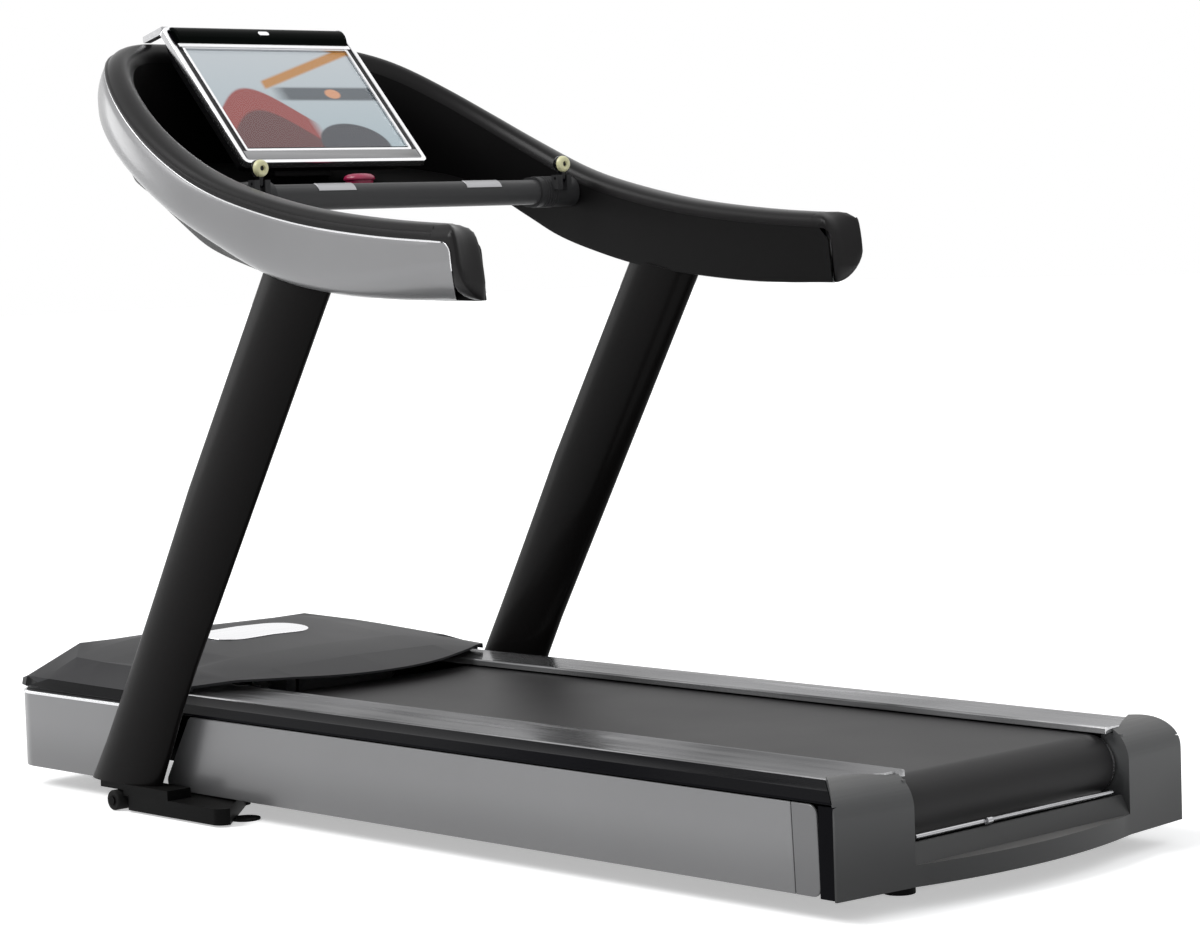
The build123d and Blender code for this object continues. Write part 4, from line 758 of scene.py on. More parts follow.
def ring_sweep(name, section, material, sharp=35.0):
    """Sweep section(low, inner low, top, y), a list of (inset, z, rear end y), along the ring."""
    rings = []
    for kind, t in ring_stations():
        _, y_mid = ring_place(kind, t, 0.0, RING_REAR)
        ring = []
        flat = section(LOW_LINE[0][1], INNER_LOW_LINE[0][1], TOP_LINE[0][1], y_mid)
        for index, (inset, _, rear) in enumerate(flat):
            x, y = ring_place(kind, t, inset, rear)
            heights = (curve_height(LOW_LINE, y), curve_height(INNER_LOW_LINE, y), curve_height(TOP_LINE, y))
            ring.append(Vector((x, y, section(*heights, y_mid)[index][1])))
        rings.append(ring)
    left = [mirrored_points(ring) for ring in reversed(rings[:-9])]
    return loft_rings(name, rings + left, material, sharp=sharp)


SKIN_LOW_REAR = RING_REAR - 0.015
SKIN_TOP_REAR = RING_REAR - 0.004
SKIN_CORNER = 0.020                       # radius of the skin's upper rear corner
RIM_REAR = RING_REAR + 0.042              # where the rim runs into the arm's end cap
ROUND_POWER = 1.8


def skin_end(z, inset, low, top):
    """Rear end of the silver skin: slanted, its upper corner rounded, its lower edge swept forwards."""
    over = min(max(0.0, z - (top - SKIN_CORNER)), SKIN_CORNER)
    slant = SKIN_LOW_REAR + (SKIN_TOP_REAR - SKIN_LOW_REAR) * (z - low) / (top - low)
    return slant + SKIN_CORNER - math.sqrt(SKIN_CORNER ** 2 - over ** 2) + 1.07 * inset


def skin_section(low, inner_low, top, y):
    """Silver skin: rounded under, swelling round the front, tucked in below the rim."""
    edge = 0.0015 + 0.0125 * swell(y)
    bow = 0.0015 + 0.0010 * swell(y)
    across, up = under_size(y)

    def face_inset(z):
        share = (z - low) / (top - low)
        return edge * max(0.0, (share - 0.45) / 0.55) ** 2 - bow * (1 - abs(2 * share - 1))

    rows = [(across - 0.001, low + 0.005)]
    for step in range(9):
        angle = math.radians(90) * step / 8
        z = low + up * (1 - max(math.cos(angle), 0.0) ** (2 / ROUND_POWER))
        rows.append((across * (1 - math.sin(angle) ** (2 / ROUND_POWER)) + face_inset(z) * math.sin(angle),
                     z))
    for share in (0.15, 0.35, 0.55, 0.75, 0.90):
        z = low + up + share * (top - low - up)
        rows.append((face_inset(z), z))
    rows += [(edge + 0.0002, top - 0.0034), (edge + 0.0014, top - 0.0026), (edge + 0.0040, top - 0.0026),
             (SKIN_T + edge, top - 0.0030)]
    under = [max(0.0, inset) if z < low + up else 0.0 for inset, z in rows]
    return [(inset, z, skin_end(z, deep, low, top)) for (inset, z), deep in zip(rows, under)]


def highlight_section(low, inner_low, top, y):
    """Painted highlight: a bright line along the upper edge of the silver skin, standing in for the light the
    edge catches.
    """
    edge = 0.0015 + 0.0125 * swell(y)
    rows = [(edge - 0.0002, top - 0.0036), (edge - 0.0010, top - 0.0022), (edge - 0.0004, top - 0.0006),
            (edge + 0.0022, top), (edge + 0.0060, top), (edge + 0.0060, top - 0.0036)]
    return [(inset, z, SKIN_TOP_REAR + SKIN_CORNER) for inset, z in rows]


RIM_ARM = ((1.5, 0.2), (1.0, 4), (1.5, 9), (3.5, 11.5), (5, 12), (5.5, 14), (7.5, 19.5), (12, 24),
           (20, 26.4), (33, 27), (47, 26.2), (58, 23), (65.5, 17), (68.8, 8), (69.8, 0.2))
RIM_FRONT = ((13.5, 0.2), (13.5, 2.5), (15, 5), (17.5, 7), (19.5, 7.4), (20.5, 9), (24, 13), (29, 18),
             (36, 22.5), (44, 26), (51, 27), (58, 25), (65, 18), (68.8, 8), (69.8, 0.2))


def rim_scale():
    """The user's rim height as a share of the usual 27 mm."""
    return bpy.context.scene.treadmill_sizes.rim_height / 0.027


def rim_section(low, inner_low, top, y):
    """Soft rim: a low dark step and a broad crest, sloping back from the skin round the front."""
    rows = []
    for (a, b), (c, d) in zip(RIM_ARM, RIM_FRONT):
        rows.append(((a + (c - a) * swell(y)) * MM, top + (b + (d - b) * swell(y)) * MM * rim_scale()))
    return [(inset, z, RIM_REAR) for inset, z in rows]


def lining_section(low, inner_low, top, y):
    """Dish lining: the inner wall and the underside that slopes out to the skin."""
    outer = 0.018 + 0.040 * tuck(y)
    rows = [(outer, low + 0.0015), (outer, low + 0.009), (0.0600, inner_low + 0.012), (0.062, top),
            (0.0698, top),
            (RING_T, top - 0.02), (RING_T, inner_low + 0.006), (0.0685, inner_low + 0.0015), (0.064,
                                                                                              inner_low)]
    ends = [skin_end(low, outer, low, top)] * 2 + [skin_end(min(z, top), 0.0, low, top) + 0.007 for _,
                                                   z in rows[2:]]
    return [(inset, z, end) for (inset, z), end in zip(rows, ends)]


def build_arm_ends():
    """Black caps that close the arms: rolled under at the outside and forwards at the top."""
    low = curve_height(LOW_LINE, RING_REAR)
    top = curve_height(TOP_LINE, RING_REAR)
    rim_top = curve_height(TOP_LINE, RIM_REAR)
    wide, tall = under_size(RING_REAR)
    insets = (0.0008, 0.0014, 0.0034, 0.0065, 0.0120, 0.0200, 0.0290, 0.0390, 0.0470, 0.0540, 0.0600, 0.0640,
              0.0670, 0.0686, 0.0697)
    shrinks = (0.0070, 0.0036, 0.0012, 0.0002, 0.0, 0.0, 0.0, 0.0, 0.0, 0.0, 0.0, 0.0005, 0.0015, 0.0030,
               0.0065)
    roll = ((0.0, 0.0), (0.22, 0.003), (0.41, 0.007), (0.61, 0.0125), (0.74, 0.018), (0.84, 0.025),
            (0.91, 0.035),
            (0.96, 0.047), (0.99, 0.058))
    widths = [0.5, 1.1] + [x for x, _ in RIM_ARM[2:]]
    for side in (1, -1):
        rings = []
        for inset, shrink in zip(insets, shrinks):
            rear = ARM_END + 0.009 * inset / RING_T + shrink
            reach = max(0.0, 1 - inset / wide)
            bottom = low + tall * (1 - (1 - reach ** ROUND_POWER) ** (1 / ROUND_POWER)) + 0.3 * shrink
            at = inset / MM
            k = max(n for n in range(len(widths) - 1) if widths[n] <= at)
            share = min(1.0, (at - widths[k]) / (widths[k + 1] - widths[k]))
            height = RIM_ARM[k][1] + share * (RIM_ARM[k + 1][1] - RIM_ARM[k][1])
            crown = rim_top + height * MM * rim_scale()
            full = rim_top + 0.027 * rim_scale()
            base = max(0.975, bottom + 0.004)
            soft = 0.45 + 0.55 * min(1.0, inset / 0.040)
            ring = [(skin_end(bottom, inset * reach, low, top) + 0.004, bottom + 0.0015),
                    (skin_end(bottom, inset * reach, low, top), bottom), (rear + 0.004, bottom),
                    (rear + 0.001, bottom + 0.001)]
            for share, dy in roll:
                # near the rear the inner edge stands as high as the crest, then it drops to the rim's edge
                t = min(max((dy - 0.004) / 0.034, 0.0), 1.0)
                limit = crown + max(0.0, full - 0.004 - crown) * (1 - t * t * (3 - 2 * t))
                ring.append((rear + dy * soft, min(base + (full - base) * share, limit)))
            ring += [(RIM_REAR + 0.0005, crown), (RIM_REAR + 0.0005, rim_top + 0.0002)]
            for drop in (0.0006, 0.0026, 0.006, 0.011, 0.016, 0.022):
                z = top - drop
                ring.append((skin_end(z, 0.0, low, top) - 0.0004, z))
            rings.append([Vector((RING_HALF - inset, y, z)) for y, z in ring])
        if side < 0:
            rings = [mirrored_points(ring) for ring in rings]
        end = loft_rings("arm_end_right" if side > 0 else "arm_end_left", rings, "black_rim", sharp=75)
        carry(end, "frame", "rim_plastic", "arm_caps")


def build_end_highlights():
    """Painted highlights: bright lines down the rear ends of the silver skin, standing in for the light their
    edges catch.
    """
    low = curve_height(LOW_LINE, RING_REAR)
    top = curve_height(TOP_LINE, RING_REAR)
    wide, tall = under_size(RING_REAR)
    heights = [top - 0.0006 - 0.020 * (1 - math.cos(math.radians(90) * i / 8)) for i in range(9)]
    heights += [top - 0.0206 - (top - 0.0206 - low - tall * 0.75) * i / 6 for i in range(1, 7)]
    for side in (1, -1):
        rings = []
        for z in heights:
            reach = min(1.0, max(0.0, (z - low) / tall))
            inset = wide * (1 - (1 - (1 - reach) ** ROUND_POWER) ** (1 / ROUND_POWER)) if reach < 1 else 0.0
            at = Vector((RING_HALF - inset + 0.0003, skin_end(z, inset, low, top) - 0.0002, z))
            ring = []
            for k in range(8):
                angle = 2 * math.pi * k / 8
                ring.append(at + Vector((0.0011 * math.cos(angle), 0.0013 * math.sin(angle), 0)))
            rings.append(mirrored_points(ring) if side < 0 else ring)
        edge = loft_rings("end_highlight_right" if side > 0 else "end_highlight_left", rings, "silver_highlight", sharp=60)
        carry(edge, "frame", "silver_shell")


def build_console():
    """The horseshoe console: silver skin with its painted highlight line, black lining, soft rim and arm
    ends.
    """
    carry(ring_sweep("shell_skin", skin_section, "silver_paint", sharp=50), "frame", "silver_shell",
          "console_shell")
    # painted highlight along the upper edge of the silver skin
    carry(ring_sweep("shell_edge_highlight", highlight_section, "silver_highlight", sharp=60), "frame", "silver_shell")
    carry(ring_sweep("rim_pad", rim_section, "black_rim", sharp=40), "frame", "rim_plastic", "console_rim")
    carry(ring_sweep("dish_lining", lining_section, "black_lining", sharp=50), "frame", "black_plastic",
          "console_lining")
    build_arm_ends()
    build_end_highlights()
    paint_node("arm_frames", "black_paint")
    paint_node("console_tray", "black_lining")


def build_posts():
    """The two leaning oval posts."""
    steps = 72
    axis = Vector((-math.sin(POST_TOE), -math.sin(POST_LEAN) * math.cos(POST_TOE),
                   math.cos(POST_LEAN) * math.cos(POST_TOE)))
    long_side = Vector((0, math.cos(POST_LEAN), math.sin(POST_LEAN)))
    short_side = axis.cross(long_side).normalized()
    base = Vector((POST_X, POST_BASE_Y, 0))
    for side, name in ((1, "right"), (-1, "left")):
        rings = []
        for level in range(13):
            ring = []
            for i in range(steps):
                angle = 2 * math.pi * i / steps
                major = POST_MAJOR - (0.0 if math.cos(angle) > 0 else 0.004)
                start = base + long_side * major * math.cos(angle) + short_side * POST_MINOR * math.sin(angle)
                low = start + axis * ((POST_LOW - start.z) / axis.z)
                high = low.copy()
                for _ in range(12):
                    under = curve_height(LOW_LINE, high.y) + 0.001
                    high += axis * ((under - high.z) / axis.z) * 0.8
                place = low.lerp(high, level / 12)
                slim = max(0.0, 1 - (place.z - POST_LOW) / 0.55)
                place -= long_side * max(0.0, math.cos(angle)) * 0.014 * slim * (2 - slim)
                flare = max(0.0, 1 - (place.z - POST_LOW) / 0.24)
                place += long_side * min(0.0, math.cos(angle)) * 0.026 * flare * flare
                place.z = low.z if level == 0 else place.z
                ring.append(place)
            rings.append(mirrored_points(ring) if side < 0 else ring)
        post = loft_rings(f"leaning_post_{name}", rings, "black_post", sharp=45)
        carry(post, "frame", "black_paint", f"post_{name}")


# ---------------------------------------------------------------- grip bar and controls
def build_grip_bar():
    """Grip bar with its sleeves and hand sensors."""
    dress("grip_tube", "grip_bar", "bar_grip", 0.001, "frame", "bar_plastic", angle=50)
    dress("grip_sleeves", "bar_sleeves", "bar_sleeve", 0.002, "frame", "rim_plastic", angle=40)
    for index, centre in enumerate((-SENSOR_X, SENSOR_X)):
        x_from, x_to = centre - SENSOR_HALF, centre + SENSOR_HALF
        rings = []
        for x in (x_from, x_from + 0.0006, x_to - 0.0006, x_to):
            thick = 0.0008 if x in (x_from, x_to) else 0.0014
            ring = []
            for reach in (0.0208, 0.021 + thick):
                turns = [math.radians(100 + 58 * i / 12) for i in range(13)]
                turns = turns if reach > 0.021 else turns[::-1]
                ring += [Vector((x, BAR_Y - 0.009 + reach * math.cos(a), BAR_Z + 0.003 + reach * math.sin(a)))
                         for a in turns]
            rings.append(ring)
        plate = loft_rings(f"sensor_plate_{index + 1}", rings, "plate_satin", sharp=40)
        carry(plate, "frame", "steel", "pulse_sensors")
    for index, side in enumerate((-1, 1)):
        values = {"Count": bpy.context.scene.treadmill_sizes.sleeve_ribs, "Width": 0.0588, "Depth": 0.0708,
                  "Corner": 0.0262, "Bead": 0.0011, "Material": materials["bar_sleeve"],
                  "Start": (side * 0.340, BAR_Y, BAR_Z), "Step": (side * 0.0065, 0.0, 0.0)}
        ribs = repeated(f"sleeve_ribs_{index + 1}", hoop_row(), values)
        carry(ribs, "frame", "rim_plastic")


def build_controls():
    """Finger levers and the stop button."""
    for side, node in ((1, "speed_lever"), (-1, "incline_lever")):
        low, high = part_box(node)
        centre = Vector(((low.x + high.x) / 2, (low.y + high.y) / 2, high.z - 0.016))
        body = "speed_control" if side > 0 else "incline_control"
        back = 0.011
        knob = lathe(f"{node}_knob", [
            (0.0, -back), (0.0125, -back), (0.0155, -0.007), (0.0160, 0.0), (0.0150, 0.005), (0.0125, 0.0075),
            (0.0, 0.0075)], centre, (0, -1, 0), "gloss_black", sharp=40)
        carry(knob, body, "lever_plastic", node)
        ring = lathe(f"{node}_ring", [
            (0.0045, 0.004), (0.0045, 0.0085), (0.0060, 0.0108), (0.0100, 0.0115), (0.0135, 0.0100),
            (0.0155, 0.0062), (0.0157, 0.001), (0.0120, 0.001)], centre, (0, -1, 0), "lever_cream", sharp=40)
        carry(ring, body, "lever_plastic")
        neck_low = Vector((centre.x, centre.y, low.z + 0.006))
        neck = loft_rings(f"{node}_neck", [
            [neck_low + Vector((u, v, 0)) for u, v in rounded_outline(0.0045, 0.0050, 0.002)],
            [centre + Vector((u, v, -0.013)) for u,
             v in rounded_outline(0.0060, 0.0060, 0.003)]], "gloss_black")
        carry(neck, body, "lever_plastic")
        eye = lathe(f"{node}_eye", [
            (0.0031, -0.0055), (0.0062, -0.0055), (0.0065, -0.005), (0.0065, 0.005), (0.0062, 0.0055),
            (0.0031, 0.0055)], (centre.x, low.y + 0.012, low.z + 0.0065), (1, 0, 0), "gloss_black", steps=32)
        carry(eye, body, "lever_plastic")
    low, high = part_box("stop_button")
    x, y = (low.x + high.x) / 2, (low.y + high.y) / 2
    top = high.z
    head = lathe("stop_dome", [
        (0.0, low.z - top), (0.0262, low.z - top), (0.0265, -0.013), (0.0292, -0.0128), (0.0300, -0.0115),
        (0.0296, -0.0080), (0.0270, -0.0045), (0.0215, -0.0018), (0.0120, -0.0003), (0.0, 0.0)],
        (x, y, top), (0, 0, 1), "stop_red", steps=72, sharp=45)
    carry(head, "stop", "stop_red", "stop_button")
    dress("stop_collar", "stop_ring", "gloss_black", 0.0008, "frame", "black_plastic", segments=2)


# ---------------------------------------------------------------- display
def on_display(across, up, out):
    """Point on the tilted display: across, up the face from its centre, and out of the face."""
    normal = Vector((0, -math.cos(DISPLAY_TILT), math.sin(DISPLAY_TILT)))
    rise = Vector((0, math.sin(DISPLAY_TILT), math.cos(DISPLAY_TILT)))
    return DISPLAY_CENTRE + Vector((across, 0, 0)) + rise * up + normal * out


def display_frame(name, loops, material, centre_up=0.0, sharp=40.0):
    """A frame round the display: loops of (half width, half height, corner radius, out)."""
    rings = []
    for half_w, half_h, radius, out in loops:
        rings.append([on_display(u, v + centre_up, out) for u, v in rounded_outline(half_w, half_h, radius)])
    return loft_rings(name, rings, material, closed=True, sharp=sharp)


def build_display():
    """Display: silver frame, black gap, lit panel under glass, visor, sensor, housing and webs."""
    half_w = DISPLAY_W / 2
    half_h = DISPLAY_H / 2
    outer = display_frame("display_outer_frame", [
        (half_w - 0.010, half_h - 0.010, 0.006, -0.014), (half_w, half_h, 0.012, -0.014),
        (half_w, half_h, 0.012, -0.0022), (half_w - 0.0012, half_h - 0.0012, 0.0108, -0.0004),
        (half_w - 0.0035, half_h - 0.0035, 0.0085, 0.0), (half_w - 0.0085, half_h - 0.0085, 0.006, 0.0),
        (half_w - 0.0100, half_h - 0.0100, 0.005, -0.0012)], "frame_silver")
    carry(outer, "frame", "display_frame", "display_bezel")
    picture_w = SCREEN_W / 2
    picture_h = SCREEN_H / 2
    inner = display_frame("display_inner_lip", [
        (picture_w, picture_h, 0.002, -0.006), (picture_w + 0.006, picture_h + 0.006, 0.004, -0.006),
        (picture_w + 0.006, picture_h + 0.006, 0.004, -0.0012), (picture_w + 0.0052, picture_h + 0.0052,
                                                                 0.0035, -0.0004),
        (picture_w + 0.0012, picture_h + 0.0012, 0.0025, -0.0004), (picture_w, picture_h, 0.002, -0.0016)],
        "frame_silver", centre_up=SCREEN_V)
    carry(inner, "frame", "display_frame")
    gap = display_frame("display_gap", [
        (picture_w + 0.005, picture_h + 0.005, 0.003, -0.012), (half_w - 0.006, half_h - 0.006, 0.006,
                                                                -0.012),
        (half_w - 0.006, half_h - 0.006, 0.006, -0.0035), (picture_w + 0.005, picture_h + 0.005, 0.003,
                                                           -0.0035)],
        "gloss_black")
    carry(gap, "frame", "display_frame")
    # satin bar between the picture and the bright lower edge
    low_bar = loft_rings("display_low_bar", [
        [on_display(u, v - half_h + 0.0215, out) for u, v in rounded_outline(w, h, 0.002)]
        for w, h, out in ((half_w - 0.012, 0.0115, -0.008), (half_w - 0.012, 0.0115, -0.0012),
                          (half_w - 0.0128, 0.0107, -0.0006))], "silver_paint")
    carry(low_bar, "frame", "display_frame")
    top_bar = loft_rings("display_top_bar", [
        [on_display(u, v - half_h + SCREEN_LOW + SCREEN_H + 0.0065, out) for u,
         v in rounded_outline(w, h, 0.002)]
        for w, h, out in ((half_w - 0.014, 0.0048, -0.008), (half_w - 0.014, 0.0048, 0.0010),
                          (half_w - 0.0148, 0.0040, 0.0018))], "frame_silver")
    carry(top_bar, "frame", "display_frame")
    dress("display_brow", "display_visor", "visor_black", 0.0015, "frame", "display_dark")
    dress("brow_sensor", "display_sensor", "frame_silver", 0.0003, "frame", "display_dark", segments=2)
    panel_points = [on_display(u, SCREEN_V + v, -0.0068) for u, v in (
        (-picture_w, -picture_h), (picture_w, -picture_h), (picture_w, picture_h), (-picture_w, picture_h))]
    back_points = [on_display(u, SCREEN_V + v, -0.0138) for u, v in (
        (-picture_w, -picture_h), (picture_w, -picture_h), (picture_w, picture_h), (-picture_w, picture_h))]
    panel = loft_rings("lit_panel", [back_points, panel_points], "screen_picture")
    uv = panel.data.uv_layers.new(name="Picture")
    for loop in panel.data.loops:
        offset = panel.data.vertices[loop.vertex_index].co - on_display(-picture_w, SCREEN_V - picture_h, 0)
        rise = Vector((0, math.sin(DISPLAY_TILT), math.cos(DISPLAY_TILT)))
        uv.data[loop.index].uv = (offset.x / SCREEN_W, offset.dot(rise) / SCREEN_H)
    carry(panel, "frame", "screen", "display_panel")
    dress("cover_glass", "display_glass", "screen_glass", 0.0003, "frame", "screen_glass", segments=2)
    dress("display_back", "display_housing", "black_plastic", 0.004, "frame", "black_plastic", angle=25)
    dress("display_stalk", "display_neck", "black_plastic", 0.004, "frame", "black_plastic")
    for index, up in enumerate((-0.125, 0.125)):
        start = on_display(-0.150, up, -0.0605)
        values = {"Count": 2, "Start": tuple(start), "Step": (0.300, 0.0, 0.0), "Radius": 0.0045,
                  "Height": 0.0022,
                  "Turn": (math.pi / 2 + DISPLAY_TILT + math.pi, 0.0, 0.0), "Material": materials["steel"]}
        carry(repeated(f"housing_screws_{index + 1}", screw_row(), values), "frame", "steel")
    dress("display_webs", "display_wings", "frame_silver", 0.0015, "frame", "display_frame")


# ---------------------------------------------------------------- deck
def build_running_belt():
    """Running belt as one closed loop with rounded edges."""
    rear_y = REAR + 0.107
    front_y = REAR + 1.650
    path = []
    for i in range(33):
        angle = math.radians(90 + 180 * i / 32)
        path.append((rear_y + math.cos(angle), math.sin(angle), rear_y))
    for i in range(33):
        angle = math.radians(-90 + 180 * i / 32)
        path.append((front_y + math.cos(angle), math.sin(angle), front_y))
    section = [(-BELT_HALF, BELT_IN_R), (-BELT_HALF, BELT_OUT_R - 0.001), (-BELT_HALF + 0.001, BELT_OUT_R),
               (BELT_HALF - 0.001, BELT_OUT_R), (BELT_HALF, BELT_OUT_R - 0.001), (BELT_HALF, BELT_IN_R)]
    rings = []
    for y_unit, z_unit, centre in path:
        along = y_unit - centre
        rings.append([Vector((x, centre + along * r, ROLLER_Z + z_unit * r)) for x, r in section])
    belt = loft_rings("belt_band", rings, "belt_rubber", closed=True, sharp=40)
    carry(belt, "deck", "belt_rubber", "running_belt")


def build_rails():
    """Polished foot rails."""
    for side in ("right", "left"):
        dress(f"rail_{side}", f"foot_rail_{side}", "rail_metal", 0.0012, "deck", "rail_metal", segments=3)


def build_side_covers():
    """Dark sloping bands and silver side panels."""
    size = bpy.context.scene.treadmill_sizes.edge_round
    for side in ("right", "left"):
        dress(f"band_{side}", f"side_band_{side}", "gloss_band", 0.0018, "deck", "black_plastic")
        for label, keep_front, material in (("panel", True, "panel_paint"),
                                            ("panel_end", False, "silver_end")):
            piece = rounded_copy(f"{label}_{side}", f"side_panel_{side}", material, size * 0.7)
            cut_across(piece, SEAM_Y + (0.0006 if keep_front else -0.0006), keep_front)
            carry(piece, "deck", "silver_shell", f"side_panel_{side}")


def build_front_end():
    """Silver front shroud, its painted highlight lip, the dark joint strip, the hood with painted shade on
    its low sides, and its plate.
    """
    dress("shroud_skin", "front_shroud", "panel_paint", 0.0012, "deck", "silver_shell")
    hood = rounded_copy("hood_cover", "hood", "hood_plastic", 0.003, segments=4, angle=8)
    for vert in hood.data.vertices:
        # fuller shoulders above the front edge, fading out to the stations either side
        x, y, z = vert.co
        along = (y - SHOULDER_Y) / (FADE_FRONT if y > SHOULDER_Y else FADE_REAR)
        aside = (abs(x) - SHOULDER_X) / (FADE_OUT if abs(x) > SHOULDER_X else FADE_IN)
        fade = max(0.0, 1 - abs(along))
        if z < SHOULDER_LOW or fade == 0.0:
            continue
        share = max(0.0, 1 - abs(aside))
        crown = 0.0 if abs(x) > SHOULDER_X else 1 - share
        vert.co.z += fade * (SHOULDER_LIFT * share + CROWN_LIFT * crown)
        vert.co.x -= math.copysign(SHOULDER_SHIFT * fade * share, x)
    # painted shade: the hood's low, side-facing faces take the darker copy of its plastic
    hood.data.materials.append(materials["hood_skirt_painted_shade"])
    for face in hood.data.polygons:
        face.material_index = int(face.center.z < 0.212 and abs(face.normal.z) < 0.7)
    carry(hood, "deck", "hood_plastic", "hood")
    dress("hood_badge_plate", "hood_plate", "bright_metal", 0.0008, "deck", "bright_metal", angle=40)
    joint = shroud_sweep("hood_joint", [
        (0.0105, 0.170), (0.0065, 0.170), (0.0065, 0.1915), (0.0090, 0.1925), (0.0090, 0.1945),
        (0.0065, 0.1955), (0.0065, 0.1985), (0.0105, 0.1985)], "black_plastic")
    carry(joint, "deck", "hood_plastic")
    # painted highlight: a bright strip along the shroud's top edge, standing in for the light that edge
    # catches
    lip = shroud_sweep("shroud_lip_highlight", [
        (-0.0006, SHROUD_TOP - 0.0052), (-0.0012, SHROUD_TOP - 0.0030), (-0.0004, SHROUD_TOP - 0.0004),
        (0.0015, SHROUD_TOP + 0.0006), (0.0045, SHROUD_TOP), (0.0048, SHROUD_TOP - 0.0052)], "silver_highlight")
    carry(lip, "deck", "silver_shell")
    values = {"Count": 4, "Start": (-0.330, FRONT + 0.0004, 0.172), "Step": (0.220, 0.0, 0.0),
              "Radius": 0.0042,
              "Height": 0.0020, "Turn": (math.radians(-90), 0.0, 0.0), "Material": materials["steel"]}
    carry(repeated("shroud_screws", screw_row(), values), "deck", "steel")


def shroud_sweep(name, section, material):
    """Sweep a section of (inset, height) points along the shroud's plan, open at the rear."""
    rings = []
    stations = []
    corner = SHROUD_CORNER
    for i in range(11):
        stations.append((PANEL_TOP_X, BAY_Y + (FRONT - corner - BAY_Y) * i / 10, 0.0))
    for i in range(1, 25):
        stations.append((PANEL_TOP_X - corner, FRONT - corner, math.radians(90 * i / 24)))
    for x, y, angle in stations:
        ring = []
        for inset, z in section:
            if angle == 0.0:
                ring.append(Vector((x - inset, y, z)))
            else:
                reach = corner - inset
                ring.append(Vector((x + reach * math.cos(angle), y + reach * math.sin(angle), z)))
        rings.append(ring)
    left = [mirrored_points(ring) for ring in reversed(rings)]
    return loft_rings(name, rings + left, material, sharp=50)


def build_rear_end():
    """Rear cap, its opening's cheeks broadly rounded, and the bright strip in the opening."""
    cap = rounded_copy("rear_cover", "rear_cap", "cap_plastic", 0.011, segments=5)
    cap.modifiers["Rounding"].limit_method = "WEIGHT"
    weights = cap.data.attributes.new("bevel_weight_edge", "FLOAT", "EDGE")
    shape = bmesh.new()
    shape.from_mesh(cap.data)
    shape.edges.ensure_lookup_table()
    opening_x = OPENING_X + 0.0005
    for edge in shape.edges:
        if len(edge.link_faces) != 2 or edge.calc_face_angle() < math.radians(28):
            continue
        a, b = (vert.co for vert in edge.verts)
        cheek = all(abs(abs(p.x) - OPENING_X) < 0.0005 and p.y < REAR + 0.052 for p in (a, b))
        inner = min(a.y, b.y) > REAR + 0.049 or max(abs(a.x), abs(b.x)) < opening_x - 0.002
        weights.data[edge.index].value = 1.0 if cheek else (0.12 if inner else 0.30)
    shape.free()
    carry(cap, "deck", "cap_plastic", "rear_cap")
    dress("opening_strip", "belt_strip", "rod_metal", 0.0006, "deck", "bright_metal", segments=2)


def build_feet():
    """Front brackets, rubber pads and transport rollers."""
    feet = rounded_copy("front_feet", "foot_brackets", "black_paint", 0.004, segments=4)
    for vert in feet.data.vertices:
        if vert.co.y < REAR + 1.56 and abs(vert.co.x) < 0.40:
            vert.co.y += FOOT_CUT
    carry(feet, "frame", "black_paint", "foot_brackets")
    dress("floor_pads", "rubber_feet", "foot_rubber", 0.001, "frame", "foot_rubber")
    for side in ("right", "left"):
        dress(f"travel_roller_{side}", f"transport_roller_{side}", "foot_rubber", 0.0015,
              f"{side}_transport", "roller_plastic")


def build_works():
    """Frame and drive parts that keep their frame shapes."""
    finishes = {
        "black_paint": ("floor_frame", "deck_beams", "cross_members", "lift_arm", "motor_bay", "hinge_pins"),
        "steel": ("roller_shafts", "tension_bolts", "jack_screw", "rear_roller", "front_roller"),
        "cast_grey": ("motor", "motor_rotor", "front_pulley", "jack_body", "motor_controller"),
        "board_wood": ("running_board",),
        "foot_rubber": ("board_cushions", "drive_belt"),
        "black_plastic": ("mains_inlet", "power_switch"),
    }
    for material, nodes in finishes.items():
        for node in nodes:
            paint_node(node, material)


